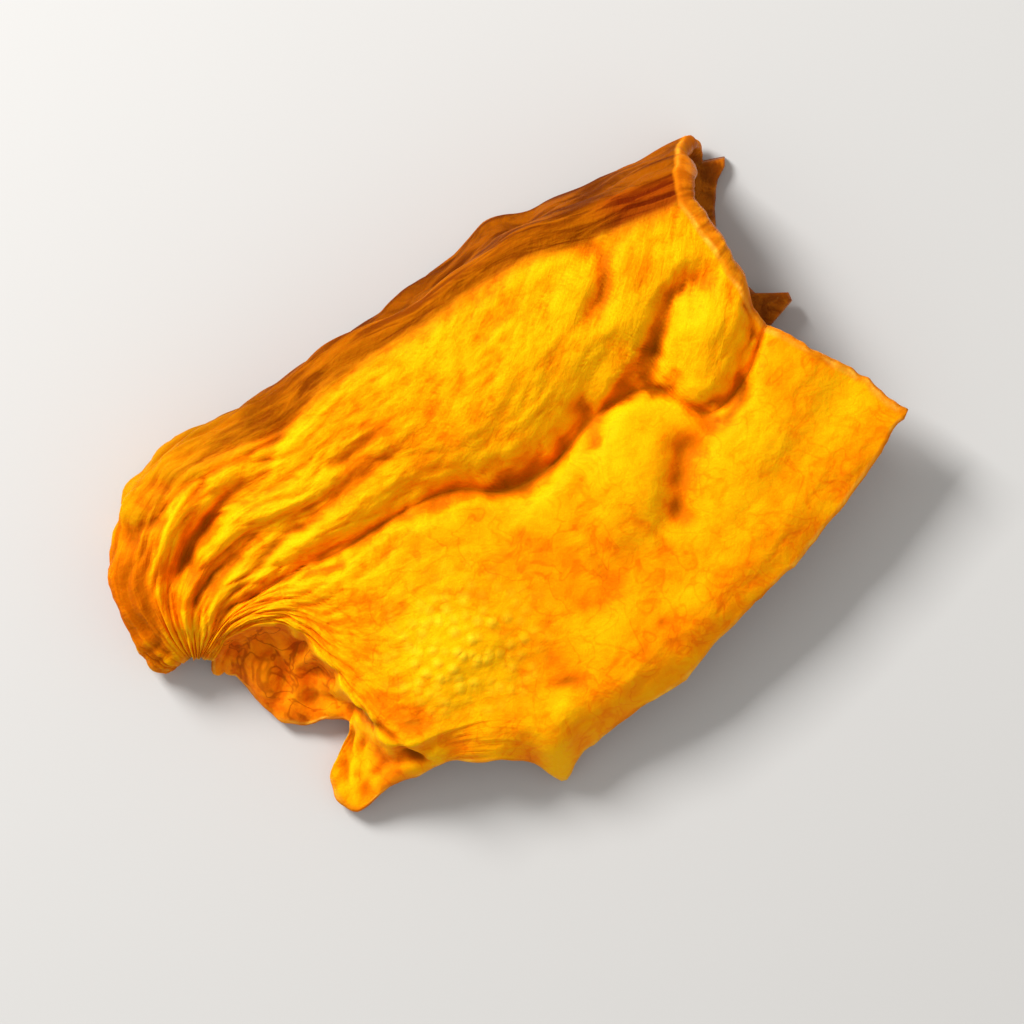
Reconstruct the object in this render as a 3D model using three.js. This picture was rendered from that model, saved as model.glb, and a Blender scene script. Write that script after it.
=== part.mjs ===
// A dried mango slice, rolled over along its back margin so that a second layer lies under it.
// Millimetres. +X runs along the slice, +Y across it to the rolled margin, +Z up from the table.
import * as THREE from "three";

// Thickness of the sheet of fruit
const THICKNESS = 2.2;
const EDGE_THICKNESS = 1.4;
const PINCH_THICKNESS = 1.2;
const EDGE_BULGE = 0.45;

// Slanted cut at the right end: how far the inner face runs on, over which places across, and its fade
const CUT_SLANT = 1.6;
const CUT_SPAN = [2, 3.6];
const CUT_FADE = 0.3;

// Rolled margin: radii of its two bends, and the most that each takes of the height at the low left end
const FOLD_RADIUS = 2.6;
const CURL_RADIUS = 2.7;
const BEND_SHARE = 0.36;

// Grid of the faceted solid
const LAST_STATION = 16;
const COLUMNS_PER_STATION = 3;
const FLAP_ROWS = 7;
const PLATEAU_ROWS = 13;
const BAND_ROWS = 13;
const FOLD_ROWS = 5;
const WALL_ROWS = 5;
const CURL_ROWS = 5;
const UNDER_ROWS = 7;
const RIM_STEPS = 3;
const NORMAL_SMOOTHING = 8;

// Guide lines: station, x, y, height of the outer face. Stations count from the cut right end to the left pinch.
const FREE_EDGE = [
  [0, 36.4, -14.3, 8.4],
  [1, 29.7, -17.4, 8.0],
  [2, 20.6, -21.1, 7.8],
  [3, 12.6, -23.1, 7.4],
  [4, 4.8, -25.5, 6.4],
  [5, -3.4, -26.2, 4.9],
  [5.6, -7.4, -26.8, 3.4],
  [6, -10.6, -28.3, 1.6],
  [6.4, -12.2, -25.1, 4.2],
  [7, -15.0, -22.9, 6.2],
  [8, -20.0, -20.4, 5.4],
  [8.6, -25.0, -19.8, 3.8],
  [9, -29.7, -20.2, 1.9],
  [10, -29.9, -15.9, 2.1],
  [10.5, -27.7, -14.2, 2.5],
  [11, -25.3, -12.4, 2.6],
  [11.5, -27.6, -10.9, 2.0],
  [12, -30.0, -10.3, 1.2],
  [13, -32.0, -7.1, 1.2],
  [14, -32.6, -4.0, 1.2],
  [15, -33.3, -2.2, 1.5],
  [16, -34.6, -1.2, 1.5],
];
const SHOULDER = [
  [0, 34.7, -9.8, 8.9],
  [2, 19.2, -15.6, 9.4],
  [4, 4.3, -19.8, 9.2],
  [6, -8.8, -21.2, 8.0],
  [7, -13.4, -19.0, 8.3],
  [8, -18.2, -17.6, 8.2],
  [9, -22.9, -16.4, 8.2],
  [10, -23.7, -13.2, 8.6],
  [11, -24.0, -10.0, 8.8],
  [12, -24.2, -5.0, 8.9],
  [13, -25.3, -1.2, 8.8],
  [14, -28.3, 0.9, 8.2],
  [15, -31.2, 1.2, 6.6],
  [16, -34.0, 0.2, 3.6],
];
const VALLEY = [
  [0, 28.8, -0.4, 10.0],
  [1, 24.8, -3.4, 9.6],
  [2, 19.8, -4.4, 9.2],
  [3, 16.4, 0.5, 9.4],
  [4, 10.7, 1.1, 9.8],
  [5, 4.5, -0.9, 9.2],
  [6, -0.8, -0.9, 9.0],
  [7, -4.6, 1.6, 9.2],
  [8, -8.8, 2.6, 9.4],
  [10, -17.8, 2.5, 9.4],
  [12, -23.9, 3.3, 8.9],
  [14, -30.1, 2.6, 8.0],
  [15, -32.5, 1.9, 6.6],
  [16, -34.8, 0.9, 4.0],
];
const RIDGE = [
  [0, 27.9, 14.3, 13.0],
  [2, 19.4, 15.6, 13.3],
  [4, 10.4, 17.4, 13.8],
  [6, 1.4, 17.0, 14.0],
  [8, -7.9, 16.9, 13.6],
  [10, -17.0, 15.7, 12.4],
  [12, -26.5, 16.0, 10.6],
  [13, -31.2, 14.3, 9.6],
  [14, -35.0, 10.3, 8.6],
  [15, -36.2, 5.6, 7.2],
  [16, -36.0, 1.6, 4.4],
];

// Outermost line of the roll seen from above, and how far the under layer runs back from it: station, x, y, run
const ROLL = [
  [0, 29.8, 19.9, 21.0],
  [1, 24.5, 20.2, 20.0],
  [2, 20.0, 20.6, 18.0],
  [3, 15.9, 21.3, 17.0],
  [4, 11.3, 22.3, 17.0],
  [5, 6.4, 21.4, 15.5],
  [6, 1.6, 20.6, 14.0],
  [8, -8.0, 20.0, 12.5],
  [10, -17.2, 18.8, 10.0],
  [12, -27.2, 19.3, 8.0],
  [13, -33.3, 17.7, 7.0],
  [13.33, -34.5, 15.7, 6.8],
  [13.67, -36.4, 14.6, 6.5],
  [14, -37.4, 11.8, 6.0],
  [15, -39.3, 5.8, 5.0],
  [16, -38.3, 1.4, 3.0],
];

// Section by station: share of a low flap in front, height of the plateau over its ends, flatness of the band
const SECTION = [
  [0, 0.0, 1.2, 2.6],
  [3, 0.0, 1.5, 3.4],
  [7, 0.0, 1.7, 3.0],
  [8, 0.45, 1.6, 2.6],
  [9, 1.0, 1.5, 2.2],
  [11, 1.0, 1.1, 1.8],
  [13, 0.75, 0.5, 1.6],
  [16, 0.5, 0.1, 1.6],
];

// Under layer past the cut right end: share of its run from the roll, distance it sticks out
const OVERHANG = [
  [0, 3.4],
  [0.06, 5.8],
  [0.16, 4.0],
  [0.3, 3.4],
  [0.55, 3.6],
  [0.82, 6.2],
  [0.93, 10.4],
  [1, 8.0],
];
const OVERHANG_STATIONS = 2.5;
const UNDER_LIFT = 1.3;

// Creases: height, reach on the left and on the right of the line, line
const CREASES = [
  [-1.7, 4.4, 2.6, [29.0, 8.0], [25.2, 7.2], [21.6, 5.7], [18.6, 3.0], [15.6, 0.2]],
  [-1.2, 3.0, 3.6, [18.5, -4.6], [15.9, -7.0], [14.0, -9.6], [10.2, -14.2]],
  [-0.8, 3.2, 3.2, [16.4, 17.4], [18.6, 13.8], [17.1, 10.8], [12.8, 8.6]],
  [-1.0, 2.8, 2.4, [-34.0, 7.8], [-30.2, 10.2], [-25.0, 12.2]],
  [0.9, 2.6, 2.6, [-17.5, -18.9], [-23.4, -18.6], [-28.4, -18.1]],
];

// Pleats along the slice: height, place across (2 at the valley, 3 at the ridge), half width, first and last station
const PLEATS = [
  [0.45, 1.82, 0.16, 8.5, 15.5],
  [0.5, 2.2, 0.15, 7.0, 16.0],
  [-0.45, 2.36, 0.14, 7.5, 15.5],
  [0.6, 2.52, 0.15, 9.0, 16.5],
  [-0.5, 2.7, 0.14, 9.5, 15.0],
  [0.5, 2.86, 0.14, 10.0, 16.5],
  [-0.6, 3.04, 0.16, -1.0, 12.0],
  [0.5, 3.3, 0.2, -1.0, 17.0],
  [-0.55, 3.56, 0.18, 1.0, 17.0],
  [0.4, 3.8, 0.2, 2.0, 14.0],
  [0.7, 3.5, 0.3, -2.0, 4.5],
  [-0.9, 3.45, 0.3, 3.0, 8.5],
  [0.8, 3.5, 0.3, 7.0, 12.5],
  [-0.7, 3.6, 0.3, 11.0, 16.0],
];
const PLEAT_FADE = 2.5;

// Soft swells: height, x, y, half length, half width, turn of the long side in degrees
const SWELLS = [
  [1.3, 24.6, 3.4, 4.6, 3.4, 50],
  [0.9, 8.0, 9.5, 9.0, 4.5, 8],
  [0.8, -13.0, -12.0, 7.5, 5.0, 10],
  [0.7, 24.0, -10.5, 9.0, 3.4, 25],
  [-0.8, 3.5, -12.5, 7.0, 3.6, -20],
  [0.9, 10.0, -4.8, 4.4, 5.0, 70],
  [-0.6, -19.0, -4.0, 5.0, 4.0, 0],
  [0.8, -37.2, 9.0, 3.0, 2.4, 70],
];

const lerp = (a, b, t) => a + (b - a) * t;
const clamp01 = (t) => Math.min(1, Math.max(0, t));
const smooth = (t) => (clamp01(t) ** 2) * (3 - 2 * clamp01(t));

// Values of a table at a station, along a curve through its rows.
function along(table, station) {
  const last = table.length - 2;
  let k = 0;
  while (k < last && table[k + 1][0] < station) k += 1;
  const [before, from, to, after] = [k - 1, k, k + 1, k + 2].map((row) => table[Math.min(last + 1, Math.max(0, row))]);
  const span = to[0] - from[0];
  const t = (station - from[0]) / span;
  return from.slice(1).map((value, n) => {
    const leaving = (to[n + 1] - before[n + 1]) / (to[0] - before[0]);
    const arriving = (after[n + 1] - value) / (after[0] - from[0]);
    const rise = t * t * (3 - 2 * t);
    return lerp(value, to[n + 1], rise) + span * t * (1 - t) * ((1 - t) * leaving - t * arriving);
  });
}

// Nearest place on a line: distance, side and share of the way along.
function nearest(line, x, y) {
  let best = { distance: Infinity };
  for (let k = 0; k + 1 < line.length; k += 1) {
    const [ax, ay] = line[k];
    const [dx, dy] = [line[k + 1][0] - ax, line[k + 1][1] - ay];
    const t = clamp01(((x - ax) * dx + (y - ay) * dy) / (dx * dx + dy * dy));
    const distance = Math.hypot(x - ax - t * dx, y - ay - t * dy);
    if (distance < best.distance) {
      best = { distance, left: dx * (y - ay) > dy * (x - ax), share: (k + t) / (line.length - 1) };
    }
  }
  return best;
}

function creaseHeight([height, leftReach, rightReach, ...line], x, y) {
  const { distance, left, share } = nearest(line, x, y);
  const depth = 1 - smooth(distance / (left ? leftReach : rightReach));
  return height * depth * smooth(4 * share) * smooth(4 * (1 - share));
}

function pleatHeight([height, place, halfWidth, first, last], station, across) {
  const bulge = Math.cos((Math.PI / 2) * clamp01(Math.abs(across - place) / halfWidth)) ** 2;
  return height * bulge * smooth((station - first) / PLEAT_FADE) * smooth((last - station) / PLEAT_FADE);
}

function swellHeight([height, cx, cy, halfLength, halfWidth, turn], x, y) {
  const angle = THREE.MathUtils.degToRad(turn);
  const alongIt = ((x - cx) * Math.cos(angle) + (y - cy) * Math.sin(angle)) / halfLength;
  const acrossIt = ((y - cy) * Math.cos(angle) - (x - cx) * Math.sin(angle)) / halfWidth;
  return height * Math.exp(-(alongIt ** 2) - acrossIt ** 2);
}

const total = (list, height) => list.reduce((sum, item) => sum + height(item), 0);

// A point between two guide lines, with its height set by a share of its own.
const between = (from, to, t, heightShare, extra = 0) =>
  new THREE.Vector3(lerp(from[0], to[0], t), lerp(from[1], to[1], t), lerp(from[2], to[2], heightShare) + extra);

// The free edge falls off from the shoulder, or lies as a low flap with a step up to it.
function flapPoint(station, t) {
  const [low] = along(SECTION, station);
  const share = lerp(1 - (1 - t) ** 2, 0.25 * t + 0.75 * t ** 5, low);
  return between(along(FREE_EDGE, station), along(SHOULDER, station), t, share);
}

// The plateau swells gently from the shoulder and drops sharply into the valley.
function plateauPoint(station, t) {
  const [, height] = along(SECTION, station);
  const swell = height * smooth(1.6 * t) * (1 - t ** 10);
  return between(along(SHOULDER, station), along(VALLEY, station), t, smooth(t), swell);
}

// The band climbs from the valley and levels out at the ridge.
function bandPoint(station, t) {
  const [, , flatness] = along(SECTION, station);
  return between(along(VALLEY, station), along(RIDGE, station), t, 1 - (1 - t) ** flatness);
}

// Straight length of the rolled margin's wall for a slope in radians.
function wallLength(slope, height, fold, curl) {
  const bends = fold * (1 - Math.cos(slope)) + curl * (1 + Math.cos(slope));
  return (height - bends) / Math.sin(slope);
}

// Slope of the wall that takes the roll out to its outermost line.
function wallSlope(reach, height, fold, curl) {
  let [gentle, steep] = [0.3, Math.PI / 2];
  for (let step = 0; step < 40; step += 1) {
    const slope = (gentle + steep) / 2;
    const out = wallLength(slope, height, fold, curl) * Math.cos(slope);
    const reached = fold * Math.sin(slope) + out + curl * (1 - Math.sin(slope));
    if (reached > reach) gentle = slope;
    else steep = slope;
  }
  return steep;
}

// Section of the rolled margin: distance out from the ridge, height, share of the under layer's run.
function rollSection(reach, height, run) {
  const fold = Math.min(FOLD_RADIUS, reach, BEND_SHARE * height);
  const curl = Math.min(CURL_RADIUS, BEND_SHARE * height);
  const slope = wallSlope(reach, height, fold, curl);
  const wall = wallLength(slope, height, fold, curl);
  const [foldOut, wallTop] = [fold * Math.sin(slope), height - fold * (1 - Math.cos(slope))];
  const wallOut = foldOut + wall * Math.cos(slope);
  const curlOut = wallOut - curl * Math.sin(slope);
  const points = [];
  for (let k = 1; k <= FOLD_ROWS; k += 1) {
    const turn = (slope * k) / FOLD_ROWS;
    points.push([fold * Math.sin(turn), height - fold * (1 - Math.cos(turn)), 0]);
  }
  for (let k = 1; k <= WALL_ROWS; k += 1) {
    const length = (wall * k) / WALL_ROWS;
    points.push([foldOut + length * Math.cos(slope), wallTop - length * Math.sin(slope), 0]);
  }
  for (let k = 1; k <= CURL_ROWS; k += 1) {
    const turn = lerp(slope, Math.PI, k / CURL_ROWS);
    points.push([curlOut + curl * Math.sin(turn), curl * (1 + Math.cos(turn)), 0]);
  }
  for (let k = 1; k <= UNDER_ROWS; k += 1) {
    const share = k / UNDER_ROWS;
    points.push([lerp(curlOut, reach - run, share), UNDER_LIFT * smooth(2 * share - 1), share]);
  }
  return points;
}

// Rows of the rolled margin past the ridge at one station.
function marginColumn(station) {
  const [ridgeX, ridgeY, height] = along(RIDGE, station);
  const [rollX, rollY, run] = along(ROLL, station);
  const reach = Math.hypot(rollX - ridgeX, rollY - ridgeY);
  const [outX, outY] = [(rollX - ridgeX) / reach, (rollY - ridgeY) / reach];
  const pull = clamp01(1 - station / OVERHANG_STATIONS) ** 2;
  return rollSection(reach, height, run).map(([out, z, share]) => {
    const [overhang] = along(OVERHANG, share);
    const shift = pull * overhang * clamp01((height - z) / height);
    return new THREE.Vector3(ridgeX + out * outX + shift, ridgeY + out * outY, z);
  });
}

// One column of the sheet's outer face, from the free edge over the ridge to the end of the under layer.
function column(station) {
  const points = [];
  for (let k = 0; k < FLAP_ROWS; k += 1) points.push(flapPoint(station, k / FLAP_ROWS));
  for (let k = 0; k < PLATEAU_ROWS; k += 1) points.push(plateauPoint(station, k / PLATEAU_ROWS));
  for (let k = 0; k <= BAND_ROWS; k += 1) points.push(bandPoint(station, k / BAND_ROWS));
  return points.concat(marginColumn(station));
}

const COLUMNS = LAST_STATION * COLUMNS_PER_STATION;
const BODY_ROWS = FLAP_ROWS + PLATEAU_ROWS + BAND_ROWS;
const ROLL_ROWS = FOLD_ROWS + WALL_ROWS + CURL_ROWS;
const ROWS = BODY_ROWS + ROLL_ROWS + UNDER_ROWS;
const inGrid = (value, last) => Math.min(last, Math.max(0, value));

// Place of a row across the sheet: 1 at the shoulder, 2 at the valley, 3 at the ridge, 4 where the roll meets the table.
function acrossAt(row) {
  if (row < FLAP_ROWS) return row / FLAP_ROWS;
  if (row < FLAP_ROWS + PLATEAU_ROWS) return 1 + (row - FLAP_ROWS) / PLATEAU_ROWS;
  if (row < BODY_ROWS) return 3 - (BODY_ROWS - row) / BAND_ROWS;
  return 3 + (row - BODY_ROWS) / ROLL_ROWS;
}

// Height of creases, swells and pleats over the smooth sheet. The under layer has none, so it rests flat.
function relief({ x, y }, station, across) {
  const creases = total(CREASES, (crease) => creaseHeight(crease, x, y));
  const swells = total(SWELLS, (swell) => swellHeight(swell, x, y));
  const pleats = total(PLEATS, (pleat) => pleatHeight(pleat, station, across));
  return (creases + swells) * smooth((3.5 - across) * 2) + pleats;
}

// Outward normals of a grid, averaged over their neighbours so that the inner face stays clear of itself.
function smoothNormals(grid) {
  let normals = grid.map((line, i) => line.map((_, j) => {
    const alongIt = grid[inGrid(i + 1, COLUMNS)][j].clone().sub(grid[inGrid(i - 1, COLUMNS)][j]);
    const acrossIt = line[inGrid(j + 1, ROWS)].clone().sub(line[inGrid(j - 1, ROWS)]);
    return acrossIt.cross(alongIt).normalize();
  }));
  for (let pass = 0; pass < NORMAL_SMOOTHING; pass += 1) {
    normals = normals.map((line, i) => line.map((normal, j) => {
      const sum = normal.clone().multiplyScalar(4);
      sum.add(normals[inGrid(i + 1, COLUMNS)][j]).add(normals[inGrid(i - 1, COLUMNS)][j]);
      return sum.add(line[inGrid(j + 1, ROWS)]).add(line[inGrid(j - 1, ROWS)]).normalize();
    }));
  }
  return normals;
}

// The sheet thins over the last rows and columns to its free edges, and towards the pinch.
function thicknessAt(i, j) {
  const rowsIn = Math.min(i, COLUMNS - i, j, ROWS - j);
  const body = lerp(THICKNESS, PINCH_THICKNESS, smooth((i / COLUMNS - 0.85) / 0.15));
  return lerp(Math.min(EDGE_THICKNESS, body), body, smooth(rowsIn / 3));
}

// Outer and inner face of the sheet as two grids, with the height of the relief on the smooth grid.
function faces() {
  const grid = Array.from({ length: COLUMNS + 1 }, (_, i) => column(i / COLUMNS_PER_STATION));
  const normals = smoothNormals(grid);
  const lifts = grid.map((line, i) => line.map((point, j) => relief(point, i / COLUMNS_PER_STATION, acrossAt(j))));
  const raised = (height) => grid.map((line, i) => line.map((point, j) => {
    const placed = point.clone().addScaledVector(normals[i][j], height(i, j));
    placed.z = Math.max(0, placed.z);
    return placed;
  }));
  const outer = raised((i, j) => lifts[i][j]);
  const inner = raised((i, j) => lifts[i][j] / 2 - thicknessAt(i, j));
  slantCut(inner);
  return { grid, outer, inner, lifts };
}

// The knife went in at a slant at the right end, so the inner face runs on past the outer one there.
function slantCut(inner) {
  const [from, to] = CUT_SPAN;
  inner[0].forEach((point, j) => {
    const share = smooth((acrossAt(j) - from) / CUT_FADE) * smooth((to - acrossAt(j)) / CUT_FADE);
    point.add(point.clone().sub(inner[1][j]).setLength(CUT_SLANT * share));
  });
}

// Grid places round the sheet's free edge, counterclockwise seen from the outer face.
function border() {
  const places = [];
  for (let j = 0; j < ROWS; j += 1) places.push([0, j]);
  for (let i = 0; i < COLUMNS; i += 1) places.push([i, ROWS]);
  for (let j = ROWS; j > 0; j -= 1) places.push([COLUMNS, j]);
  for (let i = COLUMNS; i > 0; i -= 1) places.push([i, 0]);
  return places;
}

// Points of the rounded edge between the two faces at one place of the border.
function rimPoints({ outer, inner }, [i, j]) {
  const middle = (a, b) => outer[a][b].clone().add(inner[a][b]).multiplyScalar(0.5);
  const centre = middle(i, j);
  const half = outer[i][j].clone().sub(centre);
  const inside = middle(Math.min(COLUMNS - 1, Math.max(1, i)), Math.min(ROWS - 1, Math.max(1, j)));
  const outward = centre.clone().sub(inside);
  outward.addScaledVector(half, -outward.dot(half) / half.lengthSq()).setLength(EDGE_BULGE);
  return Array.from({ length: RIM_STEPS - 1 }, (_, k) => {
    const turn = (Math.PI * (k + 1)) / RIM_STEPS;
    const point = centre.clone().addScaledVector(half, Math.cos(turn)).addScaledVector(outward, Math.sin(turn));
    point.z = Math.max(0, point.z);
    return point;
  });
}

// Whether the relief in the middle of a quad is nearer to its second diagonal, so that creases stay unbroken.
function splitsBackward({ grid, lifts }, corners) {
  const [[i, j]] = corners;
  const middle = new THREE.Vector3();
  corners.forEach(([a, b]) => middle.addScaledVector(grid[a][b], 1 / 4));
  const lift = relief(middle, (i + 0.5) / COLUMNS_PER_STATION, acrossAt(j + 0.5));
  const [a, b, c, d] = corners.map(([column, row]) => lifts[column][row]);
  return Math.abs((b + d) / 2 - lift) < Math.abs((a + c) / 2 - lift);
}

// Closed mesh of both faces and the rounded edge that joins them.
function sheetGeometry() {
  const sheet = faces();
  const points = [...sheet.outer.flat(), ...sheet.inner.flat()];
  const outerIndex = (i, j) => i * (ROWS + 1) + j;
  const innerIndex = (i, j) => (COLUMNS + 1) * (ROWS + 1) + outerIndex(i, j);
  const triangles = [];
  const quad = (a, b, c, d) => triangles.push(a, b, c, a, c, d);
  for (let i = 0; i < COLUMNS; i += 1) {
    for (let j = 0; j < ROWS; j += 1) {
      const corners = [[i, j], [i, j + 1], [i + 1, j + 1], [i + 1, j]];
      if (splitsBackward(sheet, corners)) corners.push(corners.shift());
      quad(...corners.map((corner) => outerIndex(...corner)));
      quad(...corners.map((corner) => innerIndex(...corner)).reverse());
    }
  }
  const rings = border().map((place) => {
    const start = points.length;
    const rim = rimPoints(sheet, place);
    points.push(...rim);
    return [outerIndex(...place), ...rim.map((_, k) => start + k), innerIndex(...place)];
  });
  rings.forEach((ring, n) => {
    const next = rings[(n + 1) % rings.length];
    for (let k = 0; k < RIM_STEPS; k += 1) quad(ring[k], ring[k + 1], next[k + 1], next[k]);
  });
  return new THREE.BufferGeometry().setFromPoints(points).setIndex(triangles);
}

// Origin under the middle of the slice, on the table.
function settle(geometry) {
  geometry.computeBoundingBox();
  const middle = geometry.boundingBox.getCenter(new THREE.Vector3());
  return geometry.translate(-middle.x, -middle.y, -geometry.boundingBox.min.z);
}

const geometry = settle(sheetGeometry());
geometry.computeVertexNormals();
const mesh = new THREE.Mesh(geometry, new THREE.MeshStandardMaterial({ color: 0xf0a008, roughness: 0.6 }));
mesh.name = "mango_slice";

const slice = new THREE.Group();
slice.name = "dried_mango_slice";
slice.add(mesh);

export default slice;
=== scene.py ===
import math

import bpy
import numpy as np
from mathutils import Matrix, Vector, noise


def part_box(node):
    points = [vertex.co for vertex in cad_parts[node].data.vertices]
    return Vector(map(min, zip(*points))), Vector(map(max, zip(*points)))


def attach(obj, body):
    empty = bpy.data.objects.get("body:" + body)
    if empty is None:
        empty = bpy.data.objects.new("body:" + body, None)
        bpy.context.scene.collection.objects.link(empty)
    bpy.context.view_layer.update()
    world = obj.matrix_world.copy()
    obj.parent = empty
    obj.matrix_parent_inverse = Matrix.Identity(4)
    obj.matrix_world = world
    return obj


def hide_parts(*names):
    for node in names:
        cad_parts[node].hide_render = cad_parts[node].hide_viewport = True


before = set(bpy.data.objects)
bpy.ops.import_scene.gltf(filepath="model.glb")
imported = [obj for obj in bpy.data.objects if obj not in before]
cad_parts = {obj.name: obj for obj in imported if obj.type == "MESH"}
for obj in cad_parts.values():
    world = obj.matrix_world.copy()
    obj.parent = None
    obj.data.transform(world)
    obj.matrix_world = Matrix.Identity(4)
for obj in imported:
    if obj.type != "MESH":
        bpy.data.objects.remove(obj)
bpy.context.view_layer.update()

MM = 0.001

# Thickness of the sheet of fruit, millimetres
THICKNESS = 2.2
EDGE_THICKNESS = 1.4
PINCH_THICKNESS = 1.2
EDGE_BULGE = 0.45
CUT_SLANT = 1.6

# Thinning at the edges: millimetres for one station, for one step across in front and below, its width
TAPER_RUNS = (3, 7, 15)
TAPER = 3

# Share of the length over which the sheet thins to the pinch
PINCH_SHARE = 0.15

# Rolled margin: radii and lift in millimetres, largest radius as a share of the height
FOLD_RADIUS = 2.6
CURL_RADIUS = 2.7
UNDER_LIFT = 1.3
BEND_SHARE = 0.36

# Search for the slope of the back wall: gentlest slope in radians, number of halvings
GENTLEST_WALL = 0.3
SLOPE_HALVINGS = 40

# Stations from the cut end over which the under layer sticks out
OVERHANG_STATIONS = 2.5

# Fine grid of the sheet, and rounds of smoothing
LAST_STATION = 16
COLUMNS = 192
FLAP_ROWS = 30
PLATEAU_ROWS = 60
BAND_ROWS = 60
FOLD_ROWS = 16
WALL_ROWS = 20
CURL_ROWS = 16
UNDER_ROWS = 22
RIM_STEPS = 6
NORMAL_SMOOTHING = 150
INNER_SMOOTHING = 6
ROUGH_EDGE_ROWS = 6
CUT_COLUMNS = 6

# Parts of the rolled margin: place across where each starts, its run across, its rows
MARGIN_PARTS = [
    (3, 1 / 3, FOLD_ROWS), (10 / 3, 1 / 3, WALL_ROWS), (11 / 3, 1 / 3, CURL_ROWS), (4, 7 / 15, UNDER_ROWS),
]

# Columns stand closer at the low flap: stations, and the share of all columns up to each
COLUMN_STATIONS = (0, 8.2, 9.7, 16)
COLUMN_SHARES = (0, 0.48, 0.65, 1)

# Patterns run with the sheet: millimetres for one station and for one step across
STATION_RUN = 4.75
ACROSS_RUN = 18.0

# Distance from an edge, millimetres for one step: cut end, pinch, front edge, edge of the under layer
EDGE_RUNS = (4.6, 3.0, 6.0, 30.0)

# Hollows that show as colour, more orange as painted shade and lighter on the rises between as painted
# highlight: rounds of smoothing, depth in millimetres that counts as one
HOLLOWS = [(12, 0.12), (90, 0.5)]

# Strokes of the skin: slant at the left, x where it begins to grow, how slowly it grows
STROKE_SLANT = (0.1, -12, 90)

# Patch of small lumps: middle, half length, half width
LUMPY_PATCH = (-12.5, -12, 6.0, 5.5)

# Guide lines: station, x, y, height of the outer face. Stations run from the cut end to the pinch
FREE_EDGE = [
    (0, 36.4, -14.3, 8.4), (1, 29.7, -17.4, 8.0), (2, 20.6, -21.1, 7.8), (3, 12.6, -23.1, 7.4),
    (4, 4.8, -25.5, 6.4), (5, -3.4, -26.2, 4.9), (5.6, -7.4, -26.8, 3.4), (6, -10.6, -28.3, 1.6),
    (6.4, -12.2, -25.1, 4.2), (7, -15.0, -22.9, 6.2), (8, -20.0, -20.4, 5.4), (8.6, -25.0, -19.8, 3.8),
    (9, -29.7, -20.2, 1.9), (10, -29.9, -15.9, 2.1), (10.5, -27.7, -14.2, 2.5), (11, -25.3, -12.4, 2.6),
    (11.5, -27.6, -10.9, 2.0), (12, -30.0, -10.3, 1.2), (13, -32.0, -7.1, 1.2), (14, -32.6, -4.0, 1.2),
    (15, -33.3, -2.2, 1.5), (16, -34.6, -1.2, 1.5),
]
SHOULDER = [
    (0, 34.7, -9.8, 8.9), (2, 19.2, -15.6, 9.4), (4, 4.3, -19.8, 9.2), (6, -8.8, -21.2, 8.0),
    (7, -13.4, -19.0, 8.3), (8, -18.2, -17.6, 8.2), (9, -22.9, -16.4, 8.2), (10, -23.7, -13.2, 8.6),
    (11, -24.0, -10.0, 8.8), (12, -24.2, -5.0, 8.9), (13, -25.3, -1.2, 8.8), (14, -28.3, 0.9, 8.2),
    (15, -31.2, 1.2, 6.6), (16, -34.0, 0.2, 3.6),
]
VALLEY = [
    (0, 28.8, -0.4, 10.0), (1, 24.8, -3.4, 9.6), (2, 19.8, -4.4, 9.2), (3, 16.4, 0.5, 9.4),
    (4, 10.7, 1.1, 9.8), (5, 4.5, -0.9, 9.2), (6, -0.8, -0.9, 9.0), (7, -4.6, 1.6, 9.2),
    (8, -8.8, 2.6, 9.4), (10, -17.8, 2.5, 9.4), (12, -23.9, 3.3, 8.9), (14, -30.1, 2.6, 8.0),
    (15, -32.5, 1.9, 6.6), (16, -34.8, 0.9, 4.0),
]
RIDGE = [
    (0, 27.9, 14.3, 13.0), (2, 19.4, 15.6, 13.3), (4, 10.4, 17.4, 13.8), (6, 1.4, 17.0, 14.0),
    (8, -7.9, 16.9, 13.6), (10, -17.0, 15.7, 12.4), (12, -26.5, 16.0, 10.6), (13, -31.2, 14.3, 9.6),
    (14, -35.0, 10.3, 8.6), (15, -36.2, 5.6, 7.2), (16, -36.0, 1.6, 4.4),
]

# Outermost line of the roll: station, x, y, how far the under layer runs back from it
ROLL = [
    (0, 29.8, 19.9, 21), (1, 24.5, 20.2, 20), (2, 20, 20.6, 18), (3, 15.9, 21.3, 17),
    (4, 11.3, 22.3, 17), (5, 6.4, 21.4, 15.5), (6, 1.6, 20.6, 14), (8, -8, 20, 12.5),
    (10, -17.2, 18.8, 10), (12, -27.2, 19.3, 8), (13, -33.3, 17.7, 7), (13.33, -34.5, 15.7, 6.8),
    (13.67, -36.4, 14.6, 6.5), (14, -37.4, 11.8, 6), (15, -39.3, 5.8, 5), (16, -38.3, 1.4, 3),
]

# Section: station, share of a low flap in front, height of the plateau over its ends, flatness of the band
SECTION = [
    (0, 0.0, 1.2, 2.6), (3, 0.0, 1.5, 3.4), (7, 0.0, 1.7, 3.0), (8, 0.45, 1.6, 2.6),
    (9, 1.0, 1.5, 2.2), (11, 1.0, 1.1, 1.8), (13, 0.75, 0.5, 1.6), (16, 0.5, 0.1, 1.6),
]

# Under layer past the cut right end: share of its run from the roll, distance it sticks out
OVERHANG = [
    (0, 3.4), (0.06, 5.8), (0.16, 4.0), (0.3, 3.4), (0.55, 3.6), (0.82, 6.2), (0.93, 10.4), (1, 8.0),
]

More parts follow.
